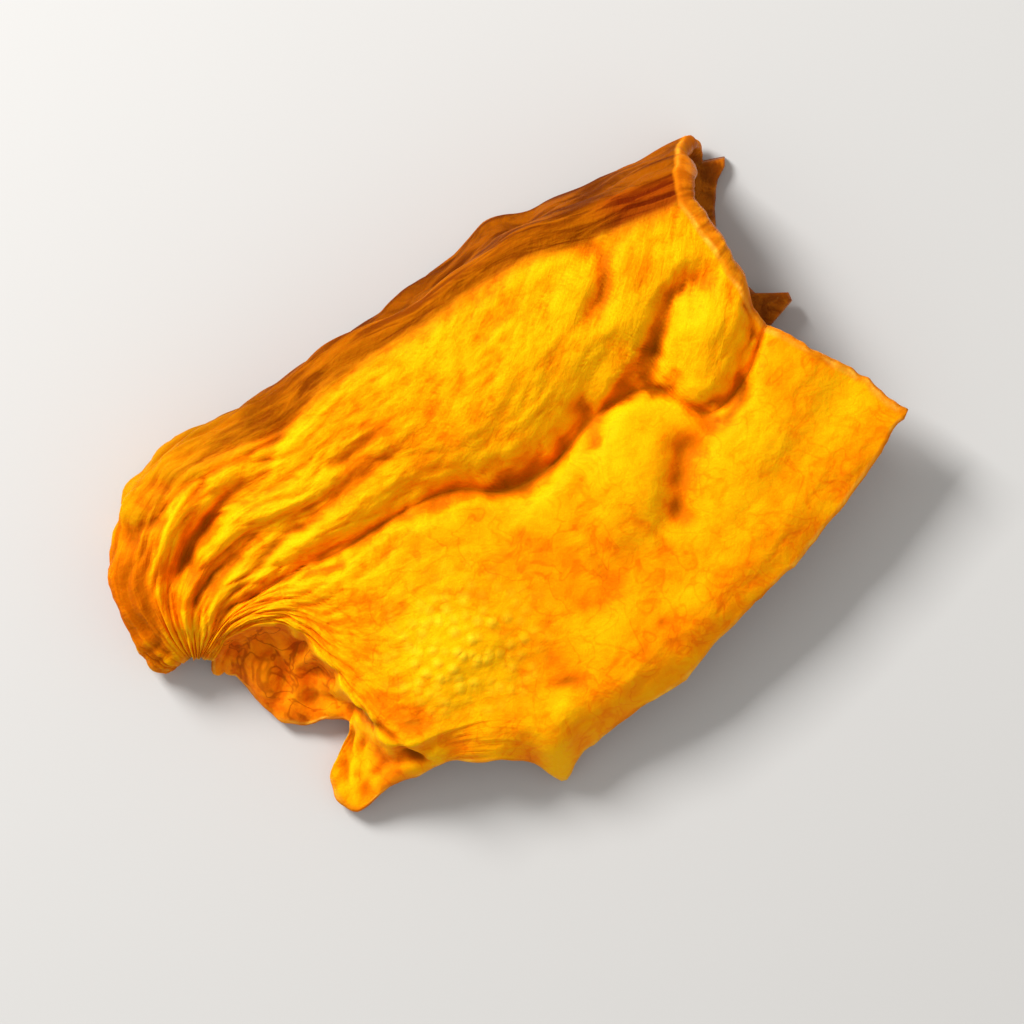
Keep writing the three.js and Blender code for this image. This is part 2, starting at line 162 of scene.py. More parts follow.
# Creases: height, reach on the left and on the right of the line, line
CREASES = [
    (-1.7, 4.4, 2.6, [(29, 8), (25.2, 7.2), (21.6, 5.7), (18.6, 3), (15.6, 0.2)]),
    (-1.2, 3, 3.6, [(18.5, -4.6), (15.9, -7), (14, -9.6), (10.2, -14.2)]),
    (-0.8, 3.2, 3.2, [(16.4, 17.4), (18.6, 13.8), (17.1, 10.8), (12.8, 8.6)]),
    (-1, 2.8, 2.4, [(-34, 7.8), (-30.2, 10.2), (-25, 12.2)]),
    (0.9, 2.6, 2.6, [(-17.5, -18.9), (-23.4, -18.6), (-28.4, -18.1)]),
]

# Pleats along the slice: height, place across, half width, first and last station
PLEATS = [
    (0.45, 1.82, 0.16, 8.5, 15.5), (0.5, 2.2, 0.15, 7, 16), (-0.45, 2.36, 0.14, 7.5, 15.5),
    (0.6, 2.52, 0.15, 9, 16.5), (-0.5, 2.7, 0.14, 9.5, 15), (0.5, 2.86, 0.14, 10, 16.5),
    (-0.6, 3.04, 0.16, -1, 12), (0.5, 3.3, 0.2, -1, 17), (-0.55, 3.56, 0.18, 1, 17),
    (0.4, 3.8, 0.2, 2, 14), (0.7, 3.5, 0.3, -2, 4.5), (-0.9, 3.45, 0.3, 3, 8.5),
    (0.8, 3.5, 0.3, 7, 12.5), (-0.7, 3.6, 0.3, 11, 16),
]
PLEAT_FADE = 2.5

# Fine creases: depth, half width on the left and on the right of the line, puckered lip, darkness of the
# painted shade along it, line
FINE_CREASES = [
    (0.3, 0.99, 0.57, 0.15, 0.36, [(-20.7, 2.4), (-19.2, 2.9), (-17, 2.3), (-13.7, 2.5), (-10.7, 2.2)]),
    (0.36, 1.32, 0.69, 0.18, 0.36, [(-13, 2.3), (-11, 2.2), (-8.5, 1.5), (-6, 1.2), (-3.7, 1.1),
        (-2.5, 0.4)]),
    (0.65, 2.8, 0.8, 0.2, 0.6, [(-4.9, 1.2), (-2.5, 0.4), (-1, -0.6), (1, -1.4), (2.7, -1.7), (4.5, -1),
        (5.9, -0.4)]),
    (0.54, 1.54, 0.69, 0.18, 0.5, [(3.5, -1.5), (4.5, -1), (6.2, -0.3), (7.5, 0), (8.7, 0.6),
        (9.7, 1.7), (10.5, 2.6), (11.9, 3)]),
    (0.5, 0.6, 0.9, 0.3, 0.5, [(7.9, -2.1), (8.7, -1.3), (9.7, -0.3), (11.2, 1), (13, 1.7), (15.2, 2.6),
        (17.1, 3)]),
    (0.3, 1, 0.7, 0.15, 0.35, [(12.1, 1.4), (13.5, 1), (14.7, 0.6), (16.5, 1.1), (17.7, 1.7)]),
    (0.54, 0.77, 0.8, 0.24, 0.58, [(15.3, 0.4), (16.2, -0.1), (17.7, -0.4), (19.1, 0), (20.1, 0.8)]),
    (0.6, 2.64, 0.57, 0.21, 0.4, [(16.3, 1.9), (18, 2.3), (19.7, 4), (21.5, 6), (23, 7), (25.1, 7.8)]),
    (0.36, 0.88, 0.57, 0.15, 0.36, [(24.7, 6.3), (26.5, 6.4), (27.7, 7.3), (28.6, 8.1)]),
    (0.54, 0.88, 0.92, 0.18, 0.65, [(18.1, -5.7), (19.5, -5.7), (21.3, -5.9), (22.9, -5.1), (24.3, -4),
        (25.9, -3)]),
    (0.42, 0.88, 0.8, 0.18, 0.5, [(19.1, -4.2), (20.5, -3.7), (22.1, -4.1), (23.9, -3.4), (25.5, -1.9),
        (26.9, -0.4)]),
    (0.36, 0.88, 0.69, 0.15, 0.36, [(17.5, -0.8), (18.7, -2.2), (19.3, -4), (19.1, -5.6)]),
    (0.4, 0.6, 0.7, 0.2, 0.42, [(26.9, -1.2), (28.1, 1.2), (28.7, 3.6)]),
    (0.33, 1.21, 0.69, 0.15, 0.36, [(12.4, -12.4), (12.6, -11.2), (13.7, -9.4), (14.8, -7.6),
        (15.9, -6.4), (17.9, -5.9)]),
    (0.18, 0.66, 0.57, 0.07, 0.22, [(10.1, -15), (9.7, -13.4), (9.5, -12), (8.9, -10.4), (8.1, -9)]),
    (0.36, 0.77, 0.69, 0.18, 0.43, [(15.5, 9.6), (16.7, 10.3), (18, 12), (18.8, 13.8), (18.4, 14.8),
        (16.7, 15.1)]),
    (0.24, 0.66, 0.69, 0.12, 0.32, [(11.5, 9), (13.5, 9.2), (15.2, 9.7), (16.7, 10.5), (17.1, 11.8)]),
    (0.21, 0.66, 0.69, 0.09, 0.25, [(11.9, 13.8), (13.5, 14.2), (15.1, 14.7), (17.1, 14.4)]),
    (0.18, 0.66, 0.69, 0.09, 0.22, [(6.1, 5.6), (7.9, 6.8), (9.7, 7.8), (11.7, 8.8)]),
    (0.18, 0.66, 0.69, 0.09, 0.22, [(1.1, 8.2), (2.9, 9), (4.7, 10.5), (6.1, 11.4)]),
    (0.18, 0.66, 0.69, 0.09, 0.22, [(-5.1, 8.5), (-2.2, 9.4), (0.3, 9.9), (2.5, 11.1)]),
    (0.3, 0.77, 0.69, 0.12, 0.36, [(-15.3, 10.7), (-13.3, 10.2), (-10.3, 10.1), (-7.9, 10.4)]),
    (0.24, 0.66, 0.69, 0.12, 0.29, [(-15.7, 7.2), (-12.1, 7.6), (-9.1, 7.8), (-6.5, 8.4)]),
    (0.18, 0.66, 0.69, 0.09, 0.22, [(-16.5, 5.4), (-12.3, 5), (-9.5, 4.5), (-6.5, 4.2)]),
    (0.54, 0.88, 0.69, 0.21, 0.61, [(-32.9, 3.6), (-30.5, 4.1), (-28.5, 4.8), (-26, 5.4), (-23.5, 6.1),
        (-21, 6.6), (-18.5, 6.7), (-15.1, 7.4)]),
    (0.42, 0.55, 0.57, 0.18, 0.54, [(-32.7, 2.6), (-29.9, 3.4), (-27, 3.3), (-25, 3), (-22.5, 2.7),
        (-20.5, 2.4)]),
    (0.3, 0.55, 0.57, 0.15, 0.32, [(-22.9, 2.5), (-20.2, 1.6), (-18.5, 1.2), (-17.3, 0.4)]),
    (0.3, 0.55, 0.46, 0.15, 0.36, [(-32.3, 2.1), (-29.5, 2.3), (-26.9, 2.4), (-24.1, 1.6),
        (-21.9, 0.2)]),
    (0.54, 1.65, 0.69, 0.21, 0.58, [(-33.5, 4.8), (-32.7, 5.4), (-31.5, 6.2), (-29.5, 6.6),
        (-26.5, 6.7), (-23.3, 7.6)]),
    (0.78, 0.66, 1.49, 0.27, 0.72, [(-32.7, 8.2), (-31.7, 9.2), (-30.5, 10), (-29, 10.7), (-27.5, 11.5),
        (-25.5, 12.2)]),
    (0.48, 0.99, 0.92, 0.18, 0.5, [(-28, 11.4), (-25.5, 12.2), (-23, 12.6), (-20.5, 13), (-18.5, 14.4),
        (-16, 15.7), (-12.5, 16.7)]),
    (0.3, 0.55, 0.57, 0.15, 0.36, [(-34.9, 6.4), (-33.2, 8), (-31.5, 10), (-29.1, 12.8), (-26.1, 14.5),
        (-22.5, 16.1)]),
    (0.3, 0.55, 0.57, 0.15, 0.36, [(-35.7, 6.2), (-33.9, 9.2), (-32.1, 12.2), (-30.1, 14.8),
        (-27.9, 17.2)]),
    (0.3, 0.55, 0.57, 0.15, 0.36, [(-36.7, 5.6), (-35.5, 9.2), (-33.7, 12.4), (-31.9, 15.2),
        (-30.3, 17.8)]),
    (0.3, 0.55, 0.57, 0.15, 0.36, [(-37.9, 3.8), (-37.5, 7.2), (-36.5, 10.2), (-34.9, 13)]),
    (0.6, 0.66, 0.69, 0.21, 0.68, [(-38.1, 15.4), (-36.2, 14.2), (-34.7, 14.2), (-32.9, 13.8)]),
    (0.42, 0.55, 0.57, 0.18, 0.5, [(-34.9, 15.8), (-33.7, 14.8), (-32.1, 14.3), (-30.7, 14.5)]),
    (0.7, 0.44, 0.57, 0.18, 0.8, [(-25.4, -9.7), (-24.3, -11.5), (-23.7, -13.5), (-22.7, -16),
        (-21.5, -18.3), (-19.8, -20.3)]),
    (0.6, 0.4, 0.8, 0.2, 0.7, [(-25.1, -12.3), (-27, -14.5), (-28.5, -16.5), (-29.7, -18.4)]),
    (0.3, 0.4, 0.6, 0.1, 0.25, [(-24.3, -13.8), (-26.5, -16), (-28.1, -18.4)]),
    (0.3, 0.4, 0.6, 0.1, 0.3, [(-23.3, -17), (-25.2, -17.9), (-27.4, -18.7), (-29, -19.6)]),
    (0.48, 0.77, 0.8, 0.24, 0.58, [(-28.9, 0.6), (-28.5, -1.4), (-28.7, -3.2), (-29.3, -5.4),
        (-29.9, -7.8)]),
    (0.48, 0.66, 0.69, 0.21, 0.58, [(-26.7, 0), (-26.5, -2), (-25.9, -3.6), (-24.3, -3.4)]),
    (0.48, 0.66, 0.69, 0.21, 0.58, [(-27.7, -5), (-26.5, -5.8), (-25, -7), (-23.7, -8.5)]),
    (0.42, 0.66, 0.69, 0.18, 0.5, [(-29.1, -7.4), (-27.5, -8.6), (-25.7, -9.8), (-24.4, -11)]),
    (0.21, 0.88, 0.92, 0.06, 0.4, [(-7.5, -19), (-5.9, -19.7), (-4.7, -20.1), (-3.3, -21.2)]),
    (0.21, 0.99, 1.03, 0.06, 0.32, [(-1.1, -13.7), (0.3, -14.7), (2.1, -15.1), (3.7, -14.4)]),
    (0.18, 0.66, 0.69, 0.06, 0.25, [(4.9, -19.4), (5.9, -19.9), (7.1, -20.6)]),
    (0.18, 0.66, 0.69, 0.06, 0.29, [(-17.9, -4.6), (-15.9, -5.1), (-13.9, -5.4)]),
    (0.15, 0.66, 0.69, 0.06, 0.18, [(2.5, -7.2), (4.3, -8), (5.3, -9.2)]),
]

# Section of a fine crease: height of its lips, share of its sharp part
LIP_SHARE = 0.68
SHARP_SHARE = 0.6

# Zones lighter (+) or more orange (-) than the rest, partly the flesh's own tone and partly painted light,
# lighter on bumps that face the light and more orange on crease flanks turned from it: strength, x, y, half
# length, half width, turn
TONES_AND_PAINTED_LIGHT = [
    (0.81, 23.5, 3.7, 3.2, 2.4, 60), (0.72, 13.8, 11.6, 2.6, 1.7, 10), (0.36, 12.5, 15.7, 2.6, 1.2, 0),
    (0.63, 14.5, 5.8, 5, 1.8, 32), (0.63, 4.5, 4.2, 5.5, 2.2, 8), (0.27, 1.5, 12.7, 3, 1.6, 10),
    (0.45, -5, 12.2, 1.6, 1, 0), (0.63, -9.5, 6.7, 3.4, 0.8, 8), (0.63, -17.5, 9.2, 5, 1.2, 10),
    (0.63, -14.7, 14.8, 3, 0.9, 22), (0.27, -13.5, 5.1, 4, 0.9, 0), (0.72, 13.5, -1.4, 3.4, 1.6, 20),
    (0.54, 11.7, -4.8, 2.6, 3, 0), (2.2, -13.5, -12.3, 4.8, 5, 20), (0.63, -15, -6.8, 2.6, 1.3, 10),
    (0.54, 20.5, -11.8, 6, 4, 30), (0.45, 25, -8.3, 3, 2.6, 20), (0.45, 0.5, -17.2, 5, 1.6, -5),
    (0.45, -7.5, -22.8, 4, 2, -10), (0.45, -9.9, -26.4, 2, 1.6, 0), (0.27, -3.5, -10.8, 3, 3, 0),
    (0.54, -26.5, -17, 3.2, 1.5, 50), (0.45, 26, 10.2, 2, 2.5, 0), (0.36, 8, 9.8, 2.6, 1.4, 30),
    (0.36, -3, 14.5, 3.4, 1, 0), (0.32, -24, 5.2, 3.4, 0.7, 10), (-1.19, 2.5, -0.5, 5, 1.2, -4),
    (-0.45, -3.1, 1.1, 3, 0.8, -12), (-0.26, -7.5, 2.1, 4, 0.8, -8), (-0.7, 13.9, 2.4, 3.2, 0.9, 15),
    (-0.45, 8.9, 1.3, 1.6, 0.9, 45), (-0.39, 15.8, 4.2, 1.8, 1.3, 30), (-0.15, 19.5, 5.6, 4.4, 1.1, 45),
    (-0.4, -28.5, 8.4, 4, 1.6, 28), (-0.59, -32.5, 6.1, 1.2, 0.9, 0), (-0.77, -22.1, -14.6, 2, 3.6, 8),
    (-0.45, -22.3, -2.4, 1.8, 2, 0), (-0.51, -17.5, -19.4, 4.2, 1.4, -28),
    (-0.45, 2.5, -14.3, 2.8, 1.3, 0), (-0.52, -5.5, -19.9, 2, 0.8, -28),
    (-0.33, 5.9, -20, 1.5, 0.8, -25), (-0.33, -14.9, -5.2, 2.6, 0.8, -5),
    (-0.26, -8.5, -8.2, 3, 1.1, 0), (-0.51, 4.5, -23.4, 4.4, 1.7, 15),
    (-0.34, 12.5, -20.4, 4.4, 1.6, 15), (-0.33, 14.1, -8.2, 1, 2.6, -32),
    (-0.59, 23, -4.4, 3.2, 1.1, 15), (-1.9, -37.9, 6.8, 6.5, 1.8, 74), (-0.52, -34.7, 1.2, 1.6, 1.6, 0),
    (-0.26, -32.5, 15.2, 4, 1.6, 40), (-0.68, -22.5, 14.8, 5.4, 1.2, 14),
    (-0.26, 18.1, 13.2, 1.2, 2.2, -10), (-0.39, -1, 15.9, 4, 0.8, 0), (-0.2, 6.5, 16, 3, 0.8, 0),
    (-0.26, -11, 10.3, 4, 0.6, 0), (-0.26, -10.5, 8.2, 4, 0.6, 4), (-0.26, 26.9, 6.6, 2, 0.8, 10),
    (1.2, -34.1, 2.8, 2.6, 1.8, 25), (0.8, 13, 7.9, 2.6, 2, 30), (-0.8, 19.5, 11.5, 2.4, 2, 20),
    (1.3, 31.5, -9.5, 4, 2.6, 40), (0.4, 24, -8.9, 2.6, 1.8, 30), (-0.9, -11.5, 9.5, 3, 2.4, 20),
    (-0.9, -24.5, -18.6, 3.2, 1.6, 40), (-0.8, -20, -14.9, 3, 1.4, -50),
    (0.6, -27.6, -16.6, 2.4, 0.7, 50), (-0.6, -7, -7, 4.5, 1.6, 15), (-1.8, -36.5, 10.5, 2.6, 1.6, 60),
    (-0.6, -8, 10.1, 2.6, 1.4, 15), (1, 19.5, 7, 2, 1.2, 45), (0.5, -27, 8.2, 2.4, 1, 30),
    (0.4, -6, -22, 3, 1.2, 0), (0.5, -3, -3.8, 5, 1.2, 0), (0.5, 6, -5.6, 2.6, 1.6, 30),
    (-0.5, -19, -9.5, 1.4, 4.5, 10), (-0.3, 9, -15, 3.4, 1.2, 30), (0.6, 17.5, -14.5, 5, 1.4, 30),
    (-0.5, 0.5, -21, 5, 1.2, 5),
]

# Soft swells: height, x, y, half length, half width, turn of the long side in degrees
SWELLS = [
    (1.3, 24.6, 3.4, 4.6, 3.4, 50), (0.9, 8, 9.5, 9, 4.5, 8), (0.8, -13, -12, 7.5, 5, 10),
    (0.7, 24, -10.5, 9, 3.4, 25), (-0.6, 3.5, -12.5, 7, 3.6, -20), (0.9, 10, -4.8, 4.4, 5, 70),
    (-0.6, -19, -4, 5, 4, 0), (0.8, -37.2, 9, 3, 2.4, 70),
]

# Colours as screen values from 0 to 255. A ramp has the place of each colour in front of it
FLESH_RAMP = [(0.0, (214, 103, 1)), (0.35, (244, 124, 1)), (0.62, (252, 149, 1)), (1.0, (254, 178, 4))]
INSIDE_RAMP = [(0.3, (112, 40, 3)), (0.45, (158, 68, 4)), (0.58, (194, 96, 6)), (0.72, (224, 140, 16))]
PAINTED_HOLLOW_SHADE = (200, 103, 1)
PAINTED_CREASE_SHADE_COLOUR = (140, 72, 1)
PAINTED_BEAD_HIGHLIGHT = (255, 204, 30)
VEIN_BROWN = (150, 52, 2)
WALL_ORANGES_AND_SHADE = ((214, 90, 3), (244, 132, 6))
# Strip browns, dark and light: each goes from the top of the strip down its steep wall, darker there as
# painted shade
STRIP_DARK = ((128, 56, 1), (92, 37, 1))
STRIP_LIGHT = ((178, 95, 2), (142, 70, 1))
STRIP_PATCH = ((104, 30, 2), (150, 62, 3))
RIM_PALE_AND_HIGHLIGHT = ((216, 118, 8), (254, 190, 62))
RIM_INNER = (190, 96, 6)
RIM_GOLD = (226, 128, 12)
TIP_BROWNS = ((126, 56, 4), (184, 98, 8))
SHINE_TINT = (255, 206, 110)

# Cloudy patterns of the material: repeats in one metre, detail, roughness, distortion
LUMPS = (480.0, 4.0, 0.6, 0.4)
GRAIN = (2000.0, 3.0, 0.6, 0.0)
BLOTCHES = (260.0, 2.0, 0.55, 0.0)
RIM_PATCHES = (240.0, 2.0, 0.55, 0.0)
STREAKS = (700.0, 4.0, 0.6, 0.6)
CROSS_STREAKS = (500.0, 3.0, 0.5, 0.6)
STROKES = (1300.0, 3.0, 0.6, 0.6)
FIBRES = (1000.0, 3.0, 0.6, 1.0)
BEADS = 850.0

# Hair creases of the material: repeats in one metre, half width
VEINS = (330.0, 0.05)
SOFT_CRINKLES = (700.0, 0.2)
STROKE_CRINKLES = (900.0, 0.06)
STREAK_CRINKLES = (800.0, 0.06)

# How far the patterns that follow the sheet are stretched
STREAK_STRETCH = (0.22, 1.0, 1.0)
CROSS_STREAK_STRETCH = (1.0, 0.12, 1.0)
STROKE_STRETCH = (0.45, 1.0, 1.0)
FIBRE_STRETCH = (0.2, 1.0, 1.0)
CRINKLE_STRETCH = (0.25, 1.0, 1.0)

# View and light
PICTURE_UP = (0.515, 0.857, 0)
CAMERA_HEIGHT = 0.55
LENS = 195
KEY_PLACE = (-0.12, 0.46, 0.38)
KEY_SIZE = 0.2
KEY_POWER = 5.3
FILL_COLOUR = (1.0, 0.99, 0.97, 1)
FILL_STRENGTH = 0.6
FLOOR_COLOUR = (0.53, 0.52, 0.505, 1)
FLOOR_HALF = 0.6


def lerp(a, b, t):
    return a + (b - a) * t


def smooth(t):
    t = np.clip(t, 0, 1)
    return t * t * (3 - 2 * t)


def along(table, places):
    """Values of a table at several stations, along a curve through its rows."""
    rows = np.array(table, float)
    places = np.asarray(places, float)
    k = np.searchsorted(rows[1:-1, 0], places)
    before, start, end, after = (rows[np.clip(k + n, 0, len(rows) - 1)] for n in (-1, 0, 1, 2))
    span = (end[:, 0] - start[:, 0])[:, None]
    t = (places - start[:, 0])[:, None] / span
    leaving = (end - before)[:, 1:] / (end - before)[:, :1]
    arriving = (after - start)[:, 1:] / (after - start)[:, :1]
    bend = span * t * (1 - t) * ((1 - t) * leaving - t * arriving)
    return lerp(start[:, 1:], end[:, 1:], t * t * (3 - 2 * t)) + bend


def between(start, end, t, height_share, extra=0.0):
    """Rows between two guide lines, with their heights set by a share of their own."""
    points = lerp(start[:, None, :], end[:, None, :], t[None, :, None])
    points[..., 2] = lerp(start[:, None, 2], end[:, None, 2], height_share) + extra
    return points


def body_rows(stations):
    """Outer face from the free edge over the shoulder and the valley to the ridge."""
    edge, shoulder, valley, ridge = (along(line, stations) for line in (FREE_EDGE, SHOULDER, VALLEY, RIDGE))
    low, height, flatness = along(SECTION, stations).T[..., None]
    t = np.arange(FLAP_ROWS) / FLAP_ROWS
    rounded_front, low_flap = 1 - (1 - t) ** 2, 0.25 * t + 0.75 * t ** 5
    flap = between(edge, shoulder, t, lerp(rounded_front, low_flap, low))
    t = np.arange(PLATEAU_ROWS) / PLATEAU_ROWS
    plateau = between(shoulder, valley, t, smooth(t), height * smooth(1.6 * t) * (1 - t ** 10))
    t = np.arange(BAND_ROWS + 1) / BAND_ROWS
    band = between(valley, ridge, t, 1 - (1 - t) ** flatness)
    return np.concatenate([flap, plateau, band], axis=1)


def wall_length(slope, height, fold, curl):
    return (height - fold * (1 - math.cos(slope)) - curl * (1 + math.cos(slope))) / math.sin(slope)


def wall_slope(reach, height, fold, curl):
    """Slope of the wall that takes the roll out to its outermost line."""
    gentle, steep = GENTLEST_WALL, math.pi / 2
    for _ in range(SLOPE_HALVINGS):
        slope = (gentle + steep) / 2
        out = wall_length(slope, height, fold, curl) * math.cos(slope)
        reached = fold * math.sin(slope) + out + curl * (1 - math.sin(slope))
        gentle, steep = (slope, steep) if reached > reach else (gentle, slope)
    return steep


def roll_section(reach, height, run):
    """Section of the rolled margin: distance out from the ridge, height, share of the under layer's run."""
    fold = min(FOLD_RADIUS, reach, BEND_SHARE * height)
    curl = min(CURL_RADIUS, BEND_SHARE * height)
    slope = wall_slope(reach, height, fold, curl)
    wall = wall_length(slope, height, fold, curl)
    turn = slope * np.arange(1, FOLD_ROWS + 1) / FOLD_ROWS
    fold_out, fold_z = fold * np.sin(turn), height - fold * (1 - np.cos(turn))
    down = wall * np.arange(1, WALL_ROWS + 1) / WALL_ROWS
    wall_out, wall_z = fold_out[-1] + down * math.cos(slope), fold_z[-1] - down * math.sin(slope)
    curl_middle = wall_out[-1] - curl * math.sin(slope)
    turn = lerp(slope, math.pi, np.arange(1, CURL_ROWS + 1) / CURL_ROWS)
    curl_out, curl_z = curl_middle + curl * np.sin(turn), curl * (1 + np.cos(turn))
    share = np.arange(1, UNDER_ROWS + 1) / UNDER_ROWS
    under_out, under_z = lerp(curl_middle, reach - run, share), UNDER_LIFT * smooth(2 * share - 1)
    out = np.concatenate([fold_out, wall_out, curl_out, under_out])
    z = np.concatenate([fold_z, wall_z, curl_z, under_z])
    return out, z, np.concatenate([np.zeros(len(out) - UNDER_ROWS), share])


def margin_rows(stations):
    """Outer face of the rolled margin: fold, wall, curl and under layer."""
    columns = []
    rows = zip(stations, along(RIDGE, stations), along(ROLL, stations))
    for station, (x, y, height), (roll_x, roll_y, run) in rows:
        reach = math.hypot(roll_x - x, roll_y - y)
        out, z, share = roll_section(reach, height, run)
        pull = max(0.0, 1 - station / OVERHANG_STATIONS) ** 2
        shift = pull * along(OVERHANG, share)[:, 0] * np.clip((height - z) / height, 0, 1)
        out_x, out_y = out * (roll_x - x) / reach, out * (roll_y - y) / reach
        columns.append(np.stack([x + out_x + shift, y + out_y, z], axis=1))
    return np.array(columns)


def places_across():
    """Place of each row: 0 free edge, 1 shoulder, 2 valley, 3 ridge, 4 where the roll meets the table."""
    parts = [np.arange(FLAP_ROWS) / FLAP_ROWS, 1 + np.arange(PLATEAU_ROWS) / PLATEAU_ROWS]
    parts.append(2 + np.arange(BAND_ROWS + 1) / BAND_ROWS)
    for start, run, rows in MARGIN_PARTS:
        parts.append(start + run * np.arange(1, rows + 1) / rows)
    return np.concatenate(parts)


def nearest(line, x, y):
    """Distance from a line, whether on its left, and the share of the way along it."""
    best = np.full(x.shape, np.inf)
    left = np.zeros(x.shape, bool)
    share = np.zeros(x.shape)
    for k, ((ax, ay), (bx, by)) in enumerate(zip(line, line[1:])):
        dx, dy = bx - ax, by - ay
        t = np.clip(((x - ax) * dx + (y - ay) * dy) / (dx * dx + dy * dy), 0, 1)
        distance = np.hypot(x - ax - t * dx, y - ay - t * dy)
        nearer = distance < best
        best = np.where(nearer, distance, best)
        left = np.where(nearer, dx * (y - ay) > dy * (x - ax), left)
        share = np.where(nearer, (k + t) / (len(line) - 1), share)
    return best, left, share


def crease_height(crease, x, y):
    height, left_reach, right_reach, line = crease
    distance, left, share = nearest(line, x, y)
    depth = 1 - smooth(distance / np.where(left, left_reach, right_reach))
    return height * depth * smooth(4 * share) * smooth(4 * (1 - share))


def swell_height(swell, x, y):
    height, cx, cy, half_length, half_width, turn = swell
    c, s = math.cos(math.radians(turn)), math.sin(math.radians(turn))
    along_it = ((x - cx) * c + (y - cy) * s) / half_length
    across_it = ((y - cy) * c - (x - cx) * s) / half_width
    return height * np.exp(-along_it ** 2 - across_it ** 2)


def pleat_height(pleat, station, across):
    height, place, half_width, first, last = pleat
    bulge = np.cos(math.pi / 2 * np.clip(abs(across - place) / half_width, 0, 1)) ** 2
    return height * bulge * smooth((station - first) / PLEAT_FADE) * smooth((last - station) / PLEAT_FADE)


def main_relief(points, station, across):
    """Height of creases, swells and pleats over the smooth sheet. The under layer stays flat."""
    x, y = points[..., 0], points[..., 1]
    relief = sum(crease_height(crease, x, y) for crease in CREASES)
    relief = relief + sum(swell_height(swell, x, y) for swell in SWELLS)
    pleats = sum(pleat_height(pleat, station, across) for pleat in PLEATS)
    return relief * smooth((3.5 - across) * 2) + pleats


def neighbour(grid, di, dj):
    """The grid shifted by a column or a row, with its border repeated."""
    rows = np.clip(np.arange(grid.shape[0]) + di, 0, grid.shape[0] - 1)
    columns = np.clip(np.arange(grid.shape[1]) + dj, 0, grid.shape[1] - 1)
    return grid[rows][:, columns]


def spread(grid, passes):
    """The grid averaged over its neighbours."""
    for _ in range(passes):
        around = neighbour(grid, 1, 0) + neighbour(grid, -1, 0)
        around = around + neighbour(grid, 0, 1) + neighbour(grid, 0, -1)
        grid = (4 * grid + around) / 8
    return grid


def unit(vectors):
    return vectors / np.linalg.norm(vectors, axis=-1, keepdims=True)


def outward_normals(points):
    along_it = neighbour(points, 1, 0) - neighbour(points, -1, 0)
    across_it = neighbour(points, 0, 1) - neighbour(points, 0, -1)
    return unit(np.cross(across_it, along_it))


def noise_at(points, seed=0.0):
    """Smooth noise from -1 to 1 at every point of a grid."""
    flat = (points + seed).reshape(-1, 3)
    return np.array([noise.noise(Vector(point)) for point in flat.tolist()]).reshape(points.shape[:-1])


def stacked(*values):
    return np.stack(np.broadcast_arrays(*values), axis=-1)


def curve_through(line, steps=4):
    """The line with points added along a smooth curve through it."""
    rows = [(k, *point) for k, point in enumerate(line)]
    return along(rows, np.linspace(0, len(line) - 1, steps * (len(line) - 1) + 1))


def crease_profile(crease, x, y):
    """Height of a fine crease with puckered lips, and the painted shade it lays along the line."""
    depth, left_width, right_width, lip, darkness, line = crease
    distance, left, share = nearest(curve_through(line), x, y)
    ends = smooth(4 * share) * smooth(4 * (1 - share))
    t = (distance / np.where(left, left_width, right_width)) ** 2
    sharp, wide = np.exp(-t), np.exp(-t / 4)
    height = LIP_SHARE * lip * t * wide - depth * (SHARP_SHARE * sharp + (1 - SHARP_SHARE) * wide)
    # How the painted shade fades away from the crease line
    painted_shade_falloff = SHARP_SHARE * np.exp(-2 * t) + (1 - SHARP_SHARE) * np.exp(-t / 2)
    return ends * height, ends * darkness * painted_shade_falloff


def ridged(points, seed=0.0):
    """Rounded bumps with sharp valleys between them, 0 to 1."""
    return np.sqrt(abs(noise_at(points, seed)) + 0.01)


def slanting(points):
    """Coordinates that run along the skin's strokes, which slant more and more towards the right end."""
    x, y, z = points[..., 0], points[..., 1], points[..., 2]
    slant, start, slowness = STROKE_SLANT
    return stacked(x, y - slant * x - np.maximum(x - start, 0) ** 2 / slowness, z)


def lumpy_share(points):
    """Where the front of the plateau is covered with small lumps, 0 to 1."""
    x, y, half_length, half_width = LUMPY_PATCH
    return np.exp(-((points[..., 0] - x) / half_length) ** 2 - ((points[..., 1] - y) / half_width) ** 2)


def flowing(station, across, length, width, seed, shift=0.0, bend=0.0):
    """Noise coordinates that run with the sheet, for a pattern of this length and width."""
    return stacked(station * STATION_RUN / length + shift, across * ACROSS_RUN / width + bend, seed)


def wrinkle_height(points, station, across, left):
    """Wrinkles that fan out from the pinch, folds across the low flap, scallops at the end of the roll."""
    bend = noise_at(points / 6.0)
    rolled = smooth((across - 3.1) * 3)
    broad = ridged(flowing(station, across, 8.0, 2.4, 3.0, bend=0.8 * bend))
    fine = ridged(flowing(station, across, 4.0, 1.1, 11.0, bend=1.0 * bend))
    wrinkles = broad * np.maximum(0.75 * left, 0.5 * rolled) + fine * np.maximum(0.35 * left, 0.18 * rolled)
    crosswise = smooth((1 - across) * 6) * smooth((station - 7.5) * 1.5)
    folds = ridged(flowing(station, across, 3.6, 12.0, 19.0, shift=1.2 * bend))
    wrinkles = lerp(wrinkles, lerp(0.3, 0.9, smooth(station - 10)) * folds, crosswise)
    scallops = smooth((across - 2.9) * 4) * smooth((station - 11) / 2)
    wrinkles = wrinkles + 0.7 * ridged(flowing(station, across, 1.9, 9.0, 31.0)) * scallops
    swells = noise_at(points / 5.5, 80.0) * lerp(0.4, 0.7, rolled) + noise_at(points / 2.2, 90.0) * 0.12
    return wrinkles + swells * (1 - 0.7 * crosswise * smooth((11 - station) * 2))


